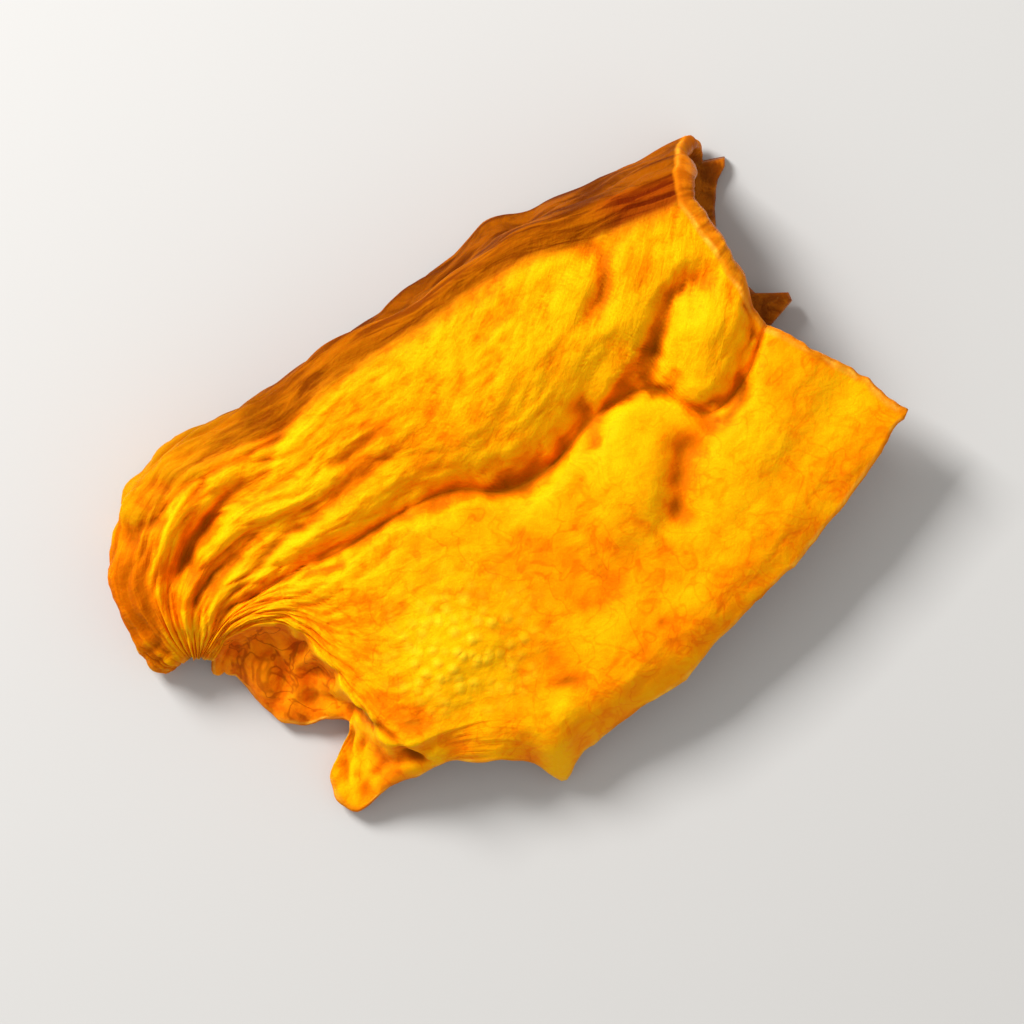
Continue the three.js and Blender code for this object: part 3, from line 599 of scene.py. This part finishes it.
def ripple_height(points, across, left):
    """Slanting ripples on the band, softer ones on the plateau, and the lumpy patch."""
    strokes = slanting(points)
    plateau = smooth((2 - across) * 4)
    ripples = ridged(strokes / (3.0, 1.25, 1.25), 30.0) * lerp(0.34, 0.0, plateau)
    ripples = ripples + ridged(strokes / (1.6, 0.8, 0.8), 60.0) * lerp(0.14, 0.0, plateau)
    ripples = ripples + ridged(points / 1.7, 70.0) * lerp(0.0, 0.16, plateau)
    return ripples * (1 - left) + ridged(points / (1.7, 1.4, 1.4), 40.0) * 0.4 * lumpy_share(points)


def fine_relief(points, station, across):
    """Height of the wrinkles, ripples and fine creases over the sheet, and the painted shade along the
    creases.
    """
    left = smooth((station - 5) / 7)
    top = smooth((3.3 - across) * 3)
    relief = ripple_height(points, across, left) * top + wrinkle_height(points, station, across, left)
    painted_crease_shade = np.zeros(relief.shape)
    warp = points / 1.6
    x = points[..., 0] + 0.4 * noise_at(warp, 5.0)
    y = points[..., 1] + 0.4 * noise_at(warp, 25.0)
    strength = np.clip(1 + 1.1 * noise_at(points / 2.2, 55.0), 0.25, 1.8)
    for crease in FINE_CREASES:
        height, dark = crease_profile(crease, x, y)
        relief = relief + height * (0.5 + 0.5 * strength) * top
        painted_crease_shade = np.maximum(painted_crease_shade, dark * strength * top)
    dents = -0.5 * smooth(2 * noise_at(flowing(station, across, 5.0, 2.0, 7.0)))
    below = smooth((across - 3.95) * 5)
    return lerp(relief, dents, below), painted_crease_shade


def rough_edge(sheet):
    """Small bites and tongues all round the free edge."""
    views = (sheet, sheet[::-1], sheet.transpose(1, 0, 2), sheet.transpose(1, 0, 2)[::-1])
    for view in views:
        outward = unit(view[0] - view[ROUGH_EDGE_ROWS])
        bite = 0.5 * noise_at(view[0] / 3.0, 7.0) + 0.2 * noise_at(view[0] / 1.1, 17.0)
        for step in range(ROUGH_EDGE_ROWS):
            view[step] += outward * (bite * (1 - step / ROUGH_EDGE_ROWS) ** 2)[:, None]


def sheet_thickness(station, across):
    """The sheet thins to its free edges and towards the pinch."""
    station_run, front_run, under_run = TAPER_RUNS
    ends = station_run * np.minimum(station, LAST_STATION - station)
    sides = np.minimum(front_run * across, under_run * (across[..., -1:] - across))
    near_pinch = smooth((station / LAST_STATION - (1 - PINCH_SHARE)) / PINCH_SHARE)
    body = lerp(THICKNESS, PINCH_THICKNESS, near_pinch)
    return lerp(np.minimum(EDGE_THICKNESS, body), body, smooth(np.minimum(ends, sides) / TAPER))


def border_places(columns, rows):
    """Grid places round the sheet's free edge, in turn."""
    places = [(0, j) for j in range(rows)]
    places += [(i, rows) for i in range(columns)]
    places += [(columns, j) for j in range(rows, 0, -1)]
    places += [(i, 0) for i in range(columns, 0, -1)]
    return np.array(places).T


def rim_rows(outer, inner, places):
    """Rounded edge between the two faces, one row of points for each step round it."""
    i, j = places
    middle = (outer + inner) / 2
    centre = middle[i, j]
    half = outer[i, j] - centre
    inside = middle[np.clip(i, 1, outer.shape[0] - 2), np.clip(j, 1, outer.shape[1] - 2)]
    outward = centre - inside
    outward -= half * (np.sum(outward * half, axis=-1) / np.sum(half * half, axis=-1))[:, None]
    outward = EDGE_BULGE * unit(outward)
    turns = math.pi * np.arange(1, RIM_STEPS) / RIM_STEPS
    return [centre + half * math.cos(turn) + outward * math.sin(turn) for turn in turns]


def sheet_faces(outer_index, inner_index, rings):
    """Quads of both faces and of the rounded edge."""
    def quads(index):
        corners = (index[:-1, :-1], index[:-1, 1:], index[1:, 1:], index[1:, :-1])
        return np.stack(corners, axis=-1).reshape(-1, 4)

    following = np.roll(rings, -1, axis=1)
    rim = np.stack([rings[:-1], rings[1:], following[1:], following[:-1]], axis=-1).reshape(-1, 4)
    return np.concatenate([quads(outer_index), quads(inner_index)[:, ::-1], rim])


def add_attribute(mesh, name, values, kind="FLOAT"):
    field = "value" if kind == "FLOAT" else "vector"
    attribute = mesh.attributes.new(name, kind, "POINT")
    attribute.data.foreach_set(field, np.asarray(values, np.float32).ravel())


def lean_of_cut(inner, across):
    """Takes the inner face out past the outer one at the cut right end, where the knife went at a slant."""
    lean = CUT_SLANT * smooth((across[0] - 2.0) * 3) * smooth((3.6 - across[0]) * 4)
    outward = unit(inner[0] - inner[CUT_COLUMNS])
    for step in range(CUT_COLUMNS):
        inner[step] += outward * (lean * (1 - step / CUT_COLUMNS))[:, None]


def sheet_grids(station, across):
    """Smooth sheet with a rough edge, its outer and inner faces, its normals, the painted crease shade and
    the middle.
    """
    stations = station[:, 0]
    sheet = np.concatenate([body_rows(stations), margin_rows(stations)], axis=1)
    normals = unit(spread(outward_normals(sheet), NORMAL_SMOOTHING))
    main = main_relief(sheet, station, across)
    coarse = (sheet + normals * main[..., None]).reshape(-1, 3)
    middle = (coarse.min(axis=0) + coarse.max(axis=0)) / 2
    fine, painted_crease_shade = fine_relief(sheet, station, across)
    rough_edge(sheet)
    outer = sheet + normals * (main + fine)[..., None]
    thickness = sheet_thickness(station, np.broadcast_to(across, main.shape))
    fibres = 0.2 * ridged(flowing(station, across, 9.0, 1.3, 23.0))
    relief = main / 2 + 0.5 * spread(fine, INNER_SMOOTHING)
    inner = sheet + normals * (relief - thickness - fibres)[..., None]
    lean_of_cut(inner, across)
    return sheet, outer, inner, normals, painted_crease_shade, middle


def hollow_depth(outer, normals, passes):
    """How far the surface lies below the average round it."""
    return np.sum((spread(outer, passes) - outer) * normals, axis=-1)


def sheet_values(station, across, sheet, outer, normals, painted_crease_shade):
    """Values that the material reads, one grid for each."""
    hollow = sum(hollow_depth(outer, normals, passes) / depth for passes, depth in HOLLOWS)
    # Zones of the flesh's own tone mixed with painted light and painted shade
    tone = sum(swell_height(zone, sheet[..., 0], sheet[..., 1]) for zone in TONES_AND_PAINTED_LIGHT)
    cut_end, pinch, front, under = EDGE_RUNS
    ends = np.minimum(station * cut_end, (LAST_STATION - station) * pinch)
    sides = np.minimum(across * front, (across[:, -1:] - across) * under)
    return {
        "hollow": hollow,
        "painted_crease_shade": painted_crease_shade,
        "tone": tone * smooth((3.9 - across) * 3),
        "lumpy": lumpy_share(sheet),
        "station": station,
        "across": across,
        "from_edge": np.minimum(ends, sides),
    }


def add_flow_map(mesh, u, v):
    """A UV map that runs with the sheet, in metres."""
    vertex = np.empty(len(mesh.loops), int)
    mesh.loops.foreach_get("vertex_index", vertex)
    flow = mesh.uv_layers.new(name="flow")
    flow.data.foreach_set("uv", (np.stack([u[vertex], v[vertex]], axis=-1) * MM).ravel())


def slice_mesh(outer, inner, rim, places, shift):
    """Both faces and the rounded edge between them as one closed mesh, standing on the table."""
    points = np.concatenate([outer.reshape(-1, 3), inner.reshape(-1, 3), *rim])
    points[:, 2] = np.maximum(points[:, 2], 0)
    count = outer.shape[0] * outer.shape[1]
    outer_index = np.arange(count).reshape(outer.shape[:2])
    rim_index = 2 * count + np.arange(len(rim) * len(rim[0])).reshape(len(rim), -1)
    border = outer_index[tuple(places)]
    rings = np.concatenate([[border], rim_index, [border + count]])
    faces = sheet_faces(outer_index, outer_index + count, rings)
    mesh = bpy.data.meshes.new("golden_slice")
    mesh.from_pydata(((points + shift) * MM).tolist(), [], faces.tolist())
    mesh.polygons.foreach_set("use_smooth", [True] * len(mesh.polygons))
    return mesh


def make_slice():
    """The slice as one closed mesh with the values that its material reads."""
    station = np.interp(np.linspace(0, 1, COLUMNS + 1), COLUMN_SHARES, COLUMN_STATIONS)[:, None]
    across = places_across()[None, :]
    sheet, outer, inner, normals, painted_crease_shade, middle = sheet_grids(station, across)
    low, high = (np.array(corner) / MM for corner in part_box("mango_slice"))
    shift = np.array([*((low + high) / 2 - middle)[:2], 0])
    places = border_places(COLUMNS, outer.shape[1] - 1)
    rim = rim_rows(outer, inner, places)
    mesh = slice_mesh(outer, inner, rim, places, shift)

    def everywhere(grid):
        grid = np.broadcast_to(grid, outer.shape[:2])
        return np.concatenate([grid.ravel(), grid.ravel(), np.tile(grid[tuple(places)], len(rim))])

    for name, grid in sheet_values(station, across, sheet, outer, normals, painted_crease_shade).items():
        add_attribute(mesh, name, everywhere(grid))
    strokes = np.stack([everywhere(grid) for grid in np.moveaxis(slanting(sheet), -1, 0)], axis=-1)
    add_attribute(mesh, "strokes", strokes * MM, "FLOAT_VECTOR")
    outer_then_inner = np.repeat([0.0, 1.0], outer.shape[0] * outer.shape[1])
    round_rim = np.repeat(np.arange(1, RIM_STEPS) / RIM_STEPS, len(places[0]))
    add_attribute(mesh, "inside", np.concatenate([outer_then_inner, round_rim]))
    add_flow_map(mesh, everywhere(station * STATION_RUN), everywhere(across * ACROSS_RUN))
    piece = bpy.data.objects.new("golden_slice", mesh)
    bpy.context.scene.collection.objects.link(piece)
    return piece


def linear(value):
    """A screen value from 0 to 255 as the renderer's linear value."""
    return ((value / 255 + 0.055) / 1.055) ** 2.4 if value > 10 else value / 255 / 12.92


def colour(screen):
    """Screen values as a colour for a socket."""
    return tuple(linear(value) for value in screen) + (1,)


def socket_called(sockets, identifier):
    return next(socket for socket in sockets if socket.identifier == identifier)


class Nodes:
    """A material's node tree, built one node at a time."""

    def __init__(self, name):
        self.material = bpy.data.materials.new(name)
        self.material.use_nodes = True
        self.tree = self.material.node_tree
        self.shader = self.tree.nodes["Principled BSDF"]

    def add(self, kind, **inputs):
        node = self.tree.nodes.new(kind)
        for name, value in inputs.items():
            self.set(node.inputs[name.replace("_", " ")], value)
        return node

    def set(self, socket, value):
        if isinstance(value, bpy.types.NodeSocket):
            self.tree.links.new(value, socket)
        else:
            socket.default_value = value

    def set_finish(self, name, value):
        self.set(self.shader.inputs[name], value)

    def math(self, operation, *values):
        node = self.tree.nodes.new("ShaderNodeMath")
        node.operation = operation
        for socket, value in zip(node.inputs, values):
            self.set(socket, value)
        return node.outputs[0]

    def times(self, first, second):
        return self.math("MULTIPLY", first, second)

    def plus(self, base, value, share):
        """The base with a share of the value added."""
        return self.math("MULTIPLY_ADD", value, share, base)

    def range(self, value, low, high, new_low=0.0, new_high=1.0):
        """The value taken softly from one range to another."""
        node = self.add("ShaderNodeMapRange", Value=value, From_Min=low, From_Max=high)
        node.interpolation_type = "SMOOTHSTEP"
        self.set(node.inputs["To Min"], new_low)
        self.set(node.inputs["To Max"], new_high)
        return node.outputs[0]

    def mix(self, share, first, second):
        node = self.tree.nodes.new("ShaderNodeMix")
        node.data_type = "RGBA"
        for name, value in (("Factor_Float", share), ("A_Color", first), ("B_Color", second)):
            self.set(socket_called(node.inputs, name), value)
        return socket_called(node.outputs, "Result_Color")

    def two_tone(self, share, tones):
        return self.mix(share, colour(tones[0]), colour(tones[1]))

    def ramp(self, place, stops):
        """Colour from a table of stops."""
        node = self.add("ShaderNodeValToRGB", Fac=place)
        elements = node.color_ramp.elements
        for element, (position, tone) in zip(elements, (stops[0], stops[-1])):
            element.position, element.color = position, colour(tone)
        for position, tone in stops[1:-1]:
            elements.new(position).color = colour(tone)
        return node.outputs[0]

    def attribute(self, name, output="Fac"):
        node = self.tree.nodes.new("ShaderNodeAttribute")
        node.attribute_name = name
        return node.outputs[output]

    def noise(self, where, scale, detail, roughness, distortion):
        node = self.add("ShaderNodeTexNoise", Vector=where, Scale=scale, Detail=detail, Roughness=roughness,
                        Distortion=distortion)
        return node.outputs["Fac"]

    def beads(self, where, scale):
        """Rounded lumps, 1 in the middle of each."""
        node = self.add("ShaderNodeTexVoronoi", Vector=where, Scale=scale)
        return self.range(node.outputs["Distance"], 0.7, 0.0)

    def crinkles(self, where, scale, width):
        """Fine creases where smooth noise passes its middle value."""
        middle = self.math("ABSOLUTE", self.math("SUBTRACT", self.noise(where, scale, 2.0, 0.5, 0.8), 0.5))
        return self.range(middle, width, 0.0)

    def stretched(self, where, scale):
        return self.add("ShaderNodeMapping", Vector=where, Scale=scale).outputs[0]


class Skin:
    """Places on the slice and the patterns that several parts of its finish share."""

    def __init__(self, nodes):
        self.find_places(nodes)
        self.lumps = nodes.noise(self.solid, *LUMPS)
        self.grain = nodes.noise(self.solid, *GRAIN)
        self.veins = nodes.crinkles(self.solid, *VEINS)
        self.beads = nodes.times(nodes.beads(self.solid, BEADS), nodes.attribute("lumpy"))
        self.slanting = nodes.stretched(nodes.attribute("strokes", "Vector"), STROKE_STRETCH)
        self.strokes = nodes.noise(self.slanting, *STROKES)
        self.fibres = nodes.noise(nodes.stretched(self.flow, FIBRE_STRETCH), *FIBRES)
        self.streaks = streak_pattern(nodes, self)

    def find_places(self, nodes):
        """Coordinates, and the shares of the band, of the low flap and of the streaky parts."""
        self.solid = nodes.tree.nodes.new("ShaderNodeTexCoord").outputs["Object"]
        flow_map = nodes.tree.nodes.new("ShaderNodeUVMap")
        flow_map.uv_map = "flow"
        self.flow = flow_map.outputs[0]
        self.across = nodes.attribute("across")
        self.station = nodes.attribute("station")
        self.inside = nodes.attribute("inside")
        self.hollow = nodes.attribute("hollow")
        self.band = nodes.range(self.across, 1.8, 2.3)
        in_front = nodes.range(self.across, 1.0, 0.85)
        self.crosswise = nodes.times(in_front, nodes.range(self.station, 7.5, 8.2))
        towards_pinch = nodes.range(self.station, 4.0, 11.0)
        streaky = nodes.math("MAXIMUM", towards_pinch, nodes.range(self.across, 2.9, 3.2))
        self.streaky = nodes.times(streaky, nodes.range(self.crosswise, 0.0, 1.0, 1.0, 0.5))


def streak_pattern(nodes, skin):
    """Streaks that run with the slice, and across it on the low flap."""
    lengthwise = nodes.noise(nodes.stretched(skin.flow, STREAK_STRETCH), *STREAKS)
    across_flap = nodes.noise(nodes.stretched(skin.flow, CROSS_STREAK_STRETCH), *CROSS_STREAKS)
    return nodes.mix(skin.crosswise, lengthwise, across_flap)


def painted_crinkle_shade(nodes, skin):
    """Hair creases that darken the colour as painted shade: soft on the plateau, slanting on the band and
    along the streaks.
    """
    soft = nodes.times(nodes.crinkles(skin.solid, *SOFT_CRINKLES), 0.5)
    crinkles = nodes.mix(skin.band, soft, nodes.crinkles(skin.slanting, *STROKE_CRINKLES))
    streaked = nodes.crinkles(nodes.stretched(skin.flow, CRINKLE_STRETCH), *STREAK_CRINKLES)
    crinkles = nodes.mix(skin.streaky, crinkles, streaked)
    return nodes.times(crinkles, nodes.range(skin.crosswise, 1.0, 0.0))


def golden_colour(nodes, skin):
    """Golden yellow flesh, lighter on the high places as painted highlight, more orange in the low ones and
    brown in the creases as painted shade.
    """
    blotches = nodes.noise(skin.solid, *BLOTCHES)
    tone = nodes.plus(nodes.times(blotches, 0.6), skin.lumps, 0.25)
    tone = nodes.plus(tone, nodes.math("SUBTRACT", skin.streaks, 0.5), skin.streaky)
    tone = nodes.plus(tone, nodes.math("SUBTRACT", skin.strokes, 0.5), nodes.times(skin.band, 0.5))
    # Zones of tone, partly painted light: lighter on bumps facing the light, more orange on shaded crease
    # flanks
    tone = nodes.plus(tone, nodes.attribute("tone"), 0.26)
    # Painted light: the colour turns more orange in hollows and lighter on rises
    tone = nodes.math("SUBTRACT", tone, nodes.times(skin.hollow, 0.12))
    # Painted shade along the hair creases
    tone = nodes.plus(tone, painted_crinkle_shade(nodes, skin), -0.1)
    tone = nodes.plus(tone, skin.veins, nodes.range(skin.band, 1.0, 0.0, 0.0, -0.14))
    tone = nodes.math("SUBTRACT", tone, nodes.range(skin.station, 11.0, 15.0, 0.0, 0.2))
    golden = nodes.ramp(nodes.range(tone, -0.24, 0.8), FLESH_RAMP)
    # Painted shade: deeper hollows are mixed towards a darker orange
    golden = nodes.mix(nodes.range(skin.hollow, 1.2, 4.0, 0.0, 0.6), golden, colour(PAINTED_HOLLOW_SHADE))
    # Painted shade: brown laid along the fine creases, broadest on the flank turned from the light
    painted_crease_shade = nodes.range(nodes.attribute("painted_crease_shade"), 0.05, 1.2, 0.0, 0.85)
    return nodes.mix(painted_crease_shade, golden, colour(PAINTED_CREASE_SHADE_COLOUR))


def strip_colour(nodes, skin):
    """Leathery brown of the rolled margin, darkest in a patch near the cut end, and darker down its steep
    wall as painted shade.
    """
    # Painted shade: each brown turns darker from the top of the strip down its steep wall
    wall = nodes.range(skin.across, 3.1, 3.4)
    dark, light = nodes.two_tone(wall, STRIP_DARK), nodes.two_tone(wall, STRIP_LIGHT)
    brown = nodes.mix(nodes.range(skin.streaks, 0.36, 0.64), dark, light)
    patch = nodes.times(nodes.range(skin.across, 3.36, 3.26), nodes.range(skin.station, 2.2, 1.2))
    return nodes.mix(patch, brown, nodes.two_tone(nodes.range(skin.streaks, 0.4, 0.6), STRIP_PATCH))


def side_wall_colour(nodes, skin):
    """Deeper orange of the wrinkled wall below the pinch, partly its own colour and partly painted shade
    under the overhanging rim, with brown veins.
    """
    orange = nodes.two_tone(nodes.range(skin.lumps, 0.35, 0.65), WALL_ORANGES_AND_SHADE)
    return nodes.mix(nodes.times(skin.veins, 0.7), orange, colour(VEIN_BROWN))


def outer_colour(nodes, skin):
    """The golden flesh with painted highlight on the tops of its small lumps, the brown strip and the side
    wall, the last two partly darkened with painted shade.
    """
    # Painted highlight: the tops of the small lumps are made pale yellow
    flesh = nodes.mix(nodes.times(skin.beads, 0.9), golden_colour(nodes, skin), colour(PAINTED_BEAD_HIGHLIGHT))
    strip = nodes.times(nodes.range(skin.across, 2.9, 3.08), nodes.range(skin.station, 15.5, 9.0, 0.35, 1.0))
    flesh = nodes.mix(strip, flesh, strip_colour(nodes, skin))
    # The side wall is made deeper orange, partly as painted shade under the rim
    wall = nodes.times(nodes.range(skin.across, 1.0, 0.9), nodes.range(skin.station, 10.6, 12.2))
    return nodes.mix(nodes.times(wall, 0.85), flesh, side_wall_colour(nodes, skin))


def inside_colour(nodes, skin):
    """Amber brown of the hollow side, with darker and lighter fibres."""
    return nodes.ramp(nodes.plus(nodes.times(skin.lumps, 0.5), skin.fibres, 0.5), INSIDE_RAMP)


def rim_colour(nodes, skin):
    """Dry edge of the sheet, pale in patches towards the outside, partly its own dry colour and partly
    painted highlight along the edge.
    """
    patches = nodes.noise(skin.solid, *RIM_PATCHES)
    # Pale patches along the outer edge: partly the dry cut's colour, partly painted highlight
    pale = nodes.two_tone(nodes.range(patches, 0.4, 0.58), RIM_PALE_AND_HIGHLIGHT)
    rim = nodes.mix(nodes.range(skin.inside, 0.0, 0.25), pale, colour(RIM_INNER))
    return nodes.mix(nodes.range(skin.lumps, 0.4, 0.6, 0.0, 0.7), rim, colour(RIM_GOLD))


def paint(nodes, skin):
    """Colour of the whole slice, with the dark corners of the under layer."""
    outside, inside = outer_colour(nodes, skin), inside_colour(nodes, skin)
    base = nodes.mix(nodes.range(skin.inside, 0.6, 1.0), outside, inside)
    edge = nodes.range(nodes.attribute("from_edge"), 0.4, 0.0, 0.0, 0.8)
    base = nodes.mix(edge, base, rim_colour(nodes, skin))
    tip = nodes.times(nodes.range(skin.across, 3.85, 4.0), nodes.range(skin.station, 1.0, 0.2, 0.0, 0.8))
    base = nodes.mix(tip, base, nodes.two_tone(nodes.range(skin.lumps, 0.4, 0.6), TIP_BROWNS))
    nodes.set_finish("Base Color", base)


def polish(nodes, skin):
    """Dry skin outside, a moist gloss inside, and light that soaks into the flesh."""
    rough = nodes.math("MULTIPLY_ADD", skin.grain, 0.25, 0.5)
    glossy = nodes.math("MULTIPLY_ADD", skin.lumps, 0.2, 0.16)
    share = nodes.range(skin.inside, 0.3, 0.7)
    blended = nodes.plus(rough, nodes.math("SUBTRACT", glossy, rough), share)
    nodes.set_finish("Roughness", blended)
    outer_shine = nodes.range(skin.across, 3.0, 3.3, 0.12, 0.03)
    nodes.set_finish("Specular IOR Level", nodes.range(skin.inside, 0.5, 0.9, outer_shine, 0.4))
    nodes.set_finish("Specular Tint", colour(SHINE_TINT))
    nodes.set_finish("IOR", 1.35)
    nodes.set_finish("Subsurface Weight", 0.35)
    nodes.set_finish("Subsurface Radius", (0.8, 0.35, 0.08))
    nodes.set_finish("Subsurface Scale", 0.0015)


def roughen(nodes, skin):
    """Grain of the flesh as fine bumps."""
    height = nodes.plus(nodes.times(skin.lumps, 0.7), nodes.times(skin.streaks, skin.streaky), 0.8)
    height = nodes.plus(height, skin.strokes, nodes.range(skin.across, 1.8, 2.3, 0.0, 0.45))
    height = nodes.plus(height, skin.grain, 0.2)
    height = nodes.plus(height, skin.beads, 0.7)
    height = nodes.plus(height, nodes.times(skin.fibres, nodes.range(skin.inside, 0.3, 0.7)), 0.8)
    bump = nodes.add("ShaderNodeBump", Strength=0.7, Distance=0.0004, Height=height)
    nodes.set_finish("Normal", bump.outputs[0])


def mango_material():
    """One finish for the whole slice: golden flesh outside, amber inside, pale dry cut edges."""
    nodes = Nodes("dried_mango")
    skin = Skin(nodes)
    paint(nodes, skin)
    polish(nodes, skin)
    roughen(nodes, skin)
    return nodes.material


def make_floor():
    """A plain pale table top."""
    mesh = bpy.data.meshes.new("floor")
    corners = [(FLOOR_HALF * x, FLOOR_HALF * y, 0) for x, y in ((-1, -1), (1, -1), (1, 1), (-1, 1))]
    mesh.from_pydata(corners, [], [(0, 1, 2, 3)])
    floor = bpy.data.objects.new("floor", mesh)
    bpy.context.scene.collection.objects.link(floor)
    material = bpy.data.materials.new("pale_floor")
    material.use_nodes = True
    shader = material.node_tree.nodes["Principled BSDF"]
    shader.inputs["Base Color"].default_value = FLOOR_COLOUR
    shader.inputs["Roughness"].default_value = 0.7
    mesh.materials.append(material)


def make_camera():
    """Straight above the slice, turned as the photograph is, so that the slice runs up to the right."""
    data = bpy.data.cameras.new("camera")
    data.lens = LENS
    camera = bpy.data.objects.new("camera", data)
    bpy.context.scene.collection.objects.link(camera)
    up = Vector(PICTURE_UP).normalized()
    back = Vector((0, 0, 1))
    right = up.cross(back)
    turn = Matrix((right, up, back)).transposed().to_4x4()
    camera.matrix_world = Matrix.Translation((0, 0, CAMERA_HEIGHT)) @ turn
    bpy.context.scene.camera = camera


def make_lamp(name, place, size, power):
    data = bpy.data.lights.new(name, "AREA")
    data.size = size
    data.energy = power
    lamp = bpy.data.objects.new(name, data)
    lamp.location = place
    lamp.rotation_euler = (-lamp.location).to_track_quat("-Z", "Y").to_euler()
    bpy.context.scene.collection.objects.link(lamp)


def make_light():
    """Soft studio light from the photograph's upper left, with an even fill."""
    world = bpy.data.worlds.new("studio")
    world.use_nodes = True
    background = world.node_tree.nodes["Background"]
    background.inputs["Color"].default_value = FILL_COLOUR
    background.inputs["Strength"].default_value = FILL_STRENGTH
    bpy.context.scene.world = world
    make_lamp("key", KEY_PLACE, KEY_SIZE, KEY_POWER)


bpy.context.scene.view_settings.view_transform = "Standard"
make_camera()
make_light()
make_floor()
slice_piece = make_slice()
slice_piece.data.materials.append(mango_material())
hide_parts("mango_slice")
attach(slice_piece, "root")
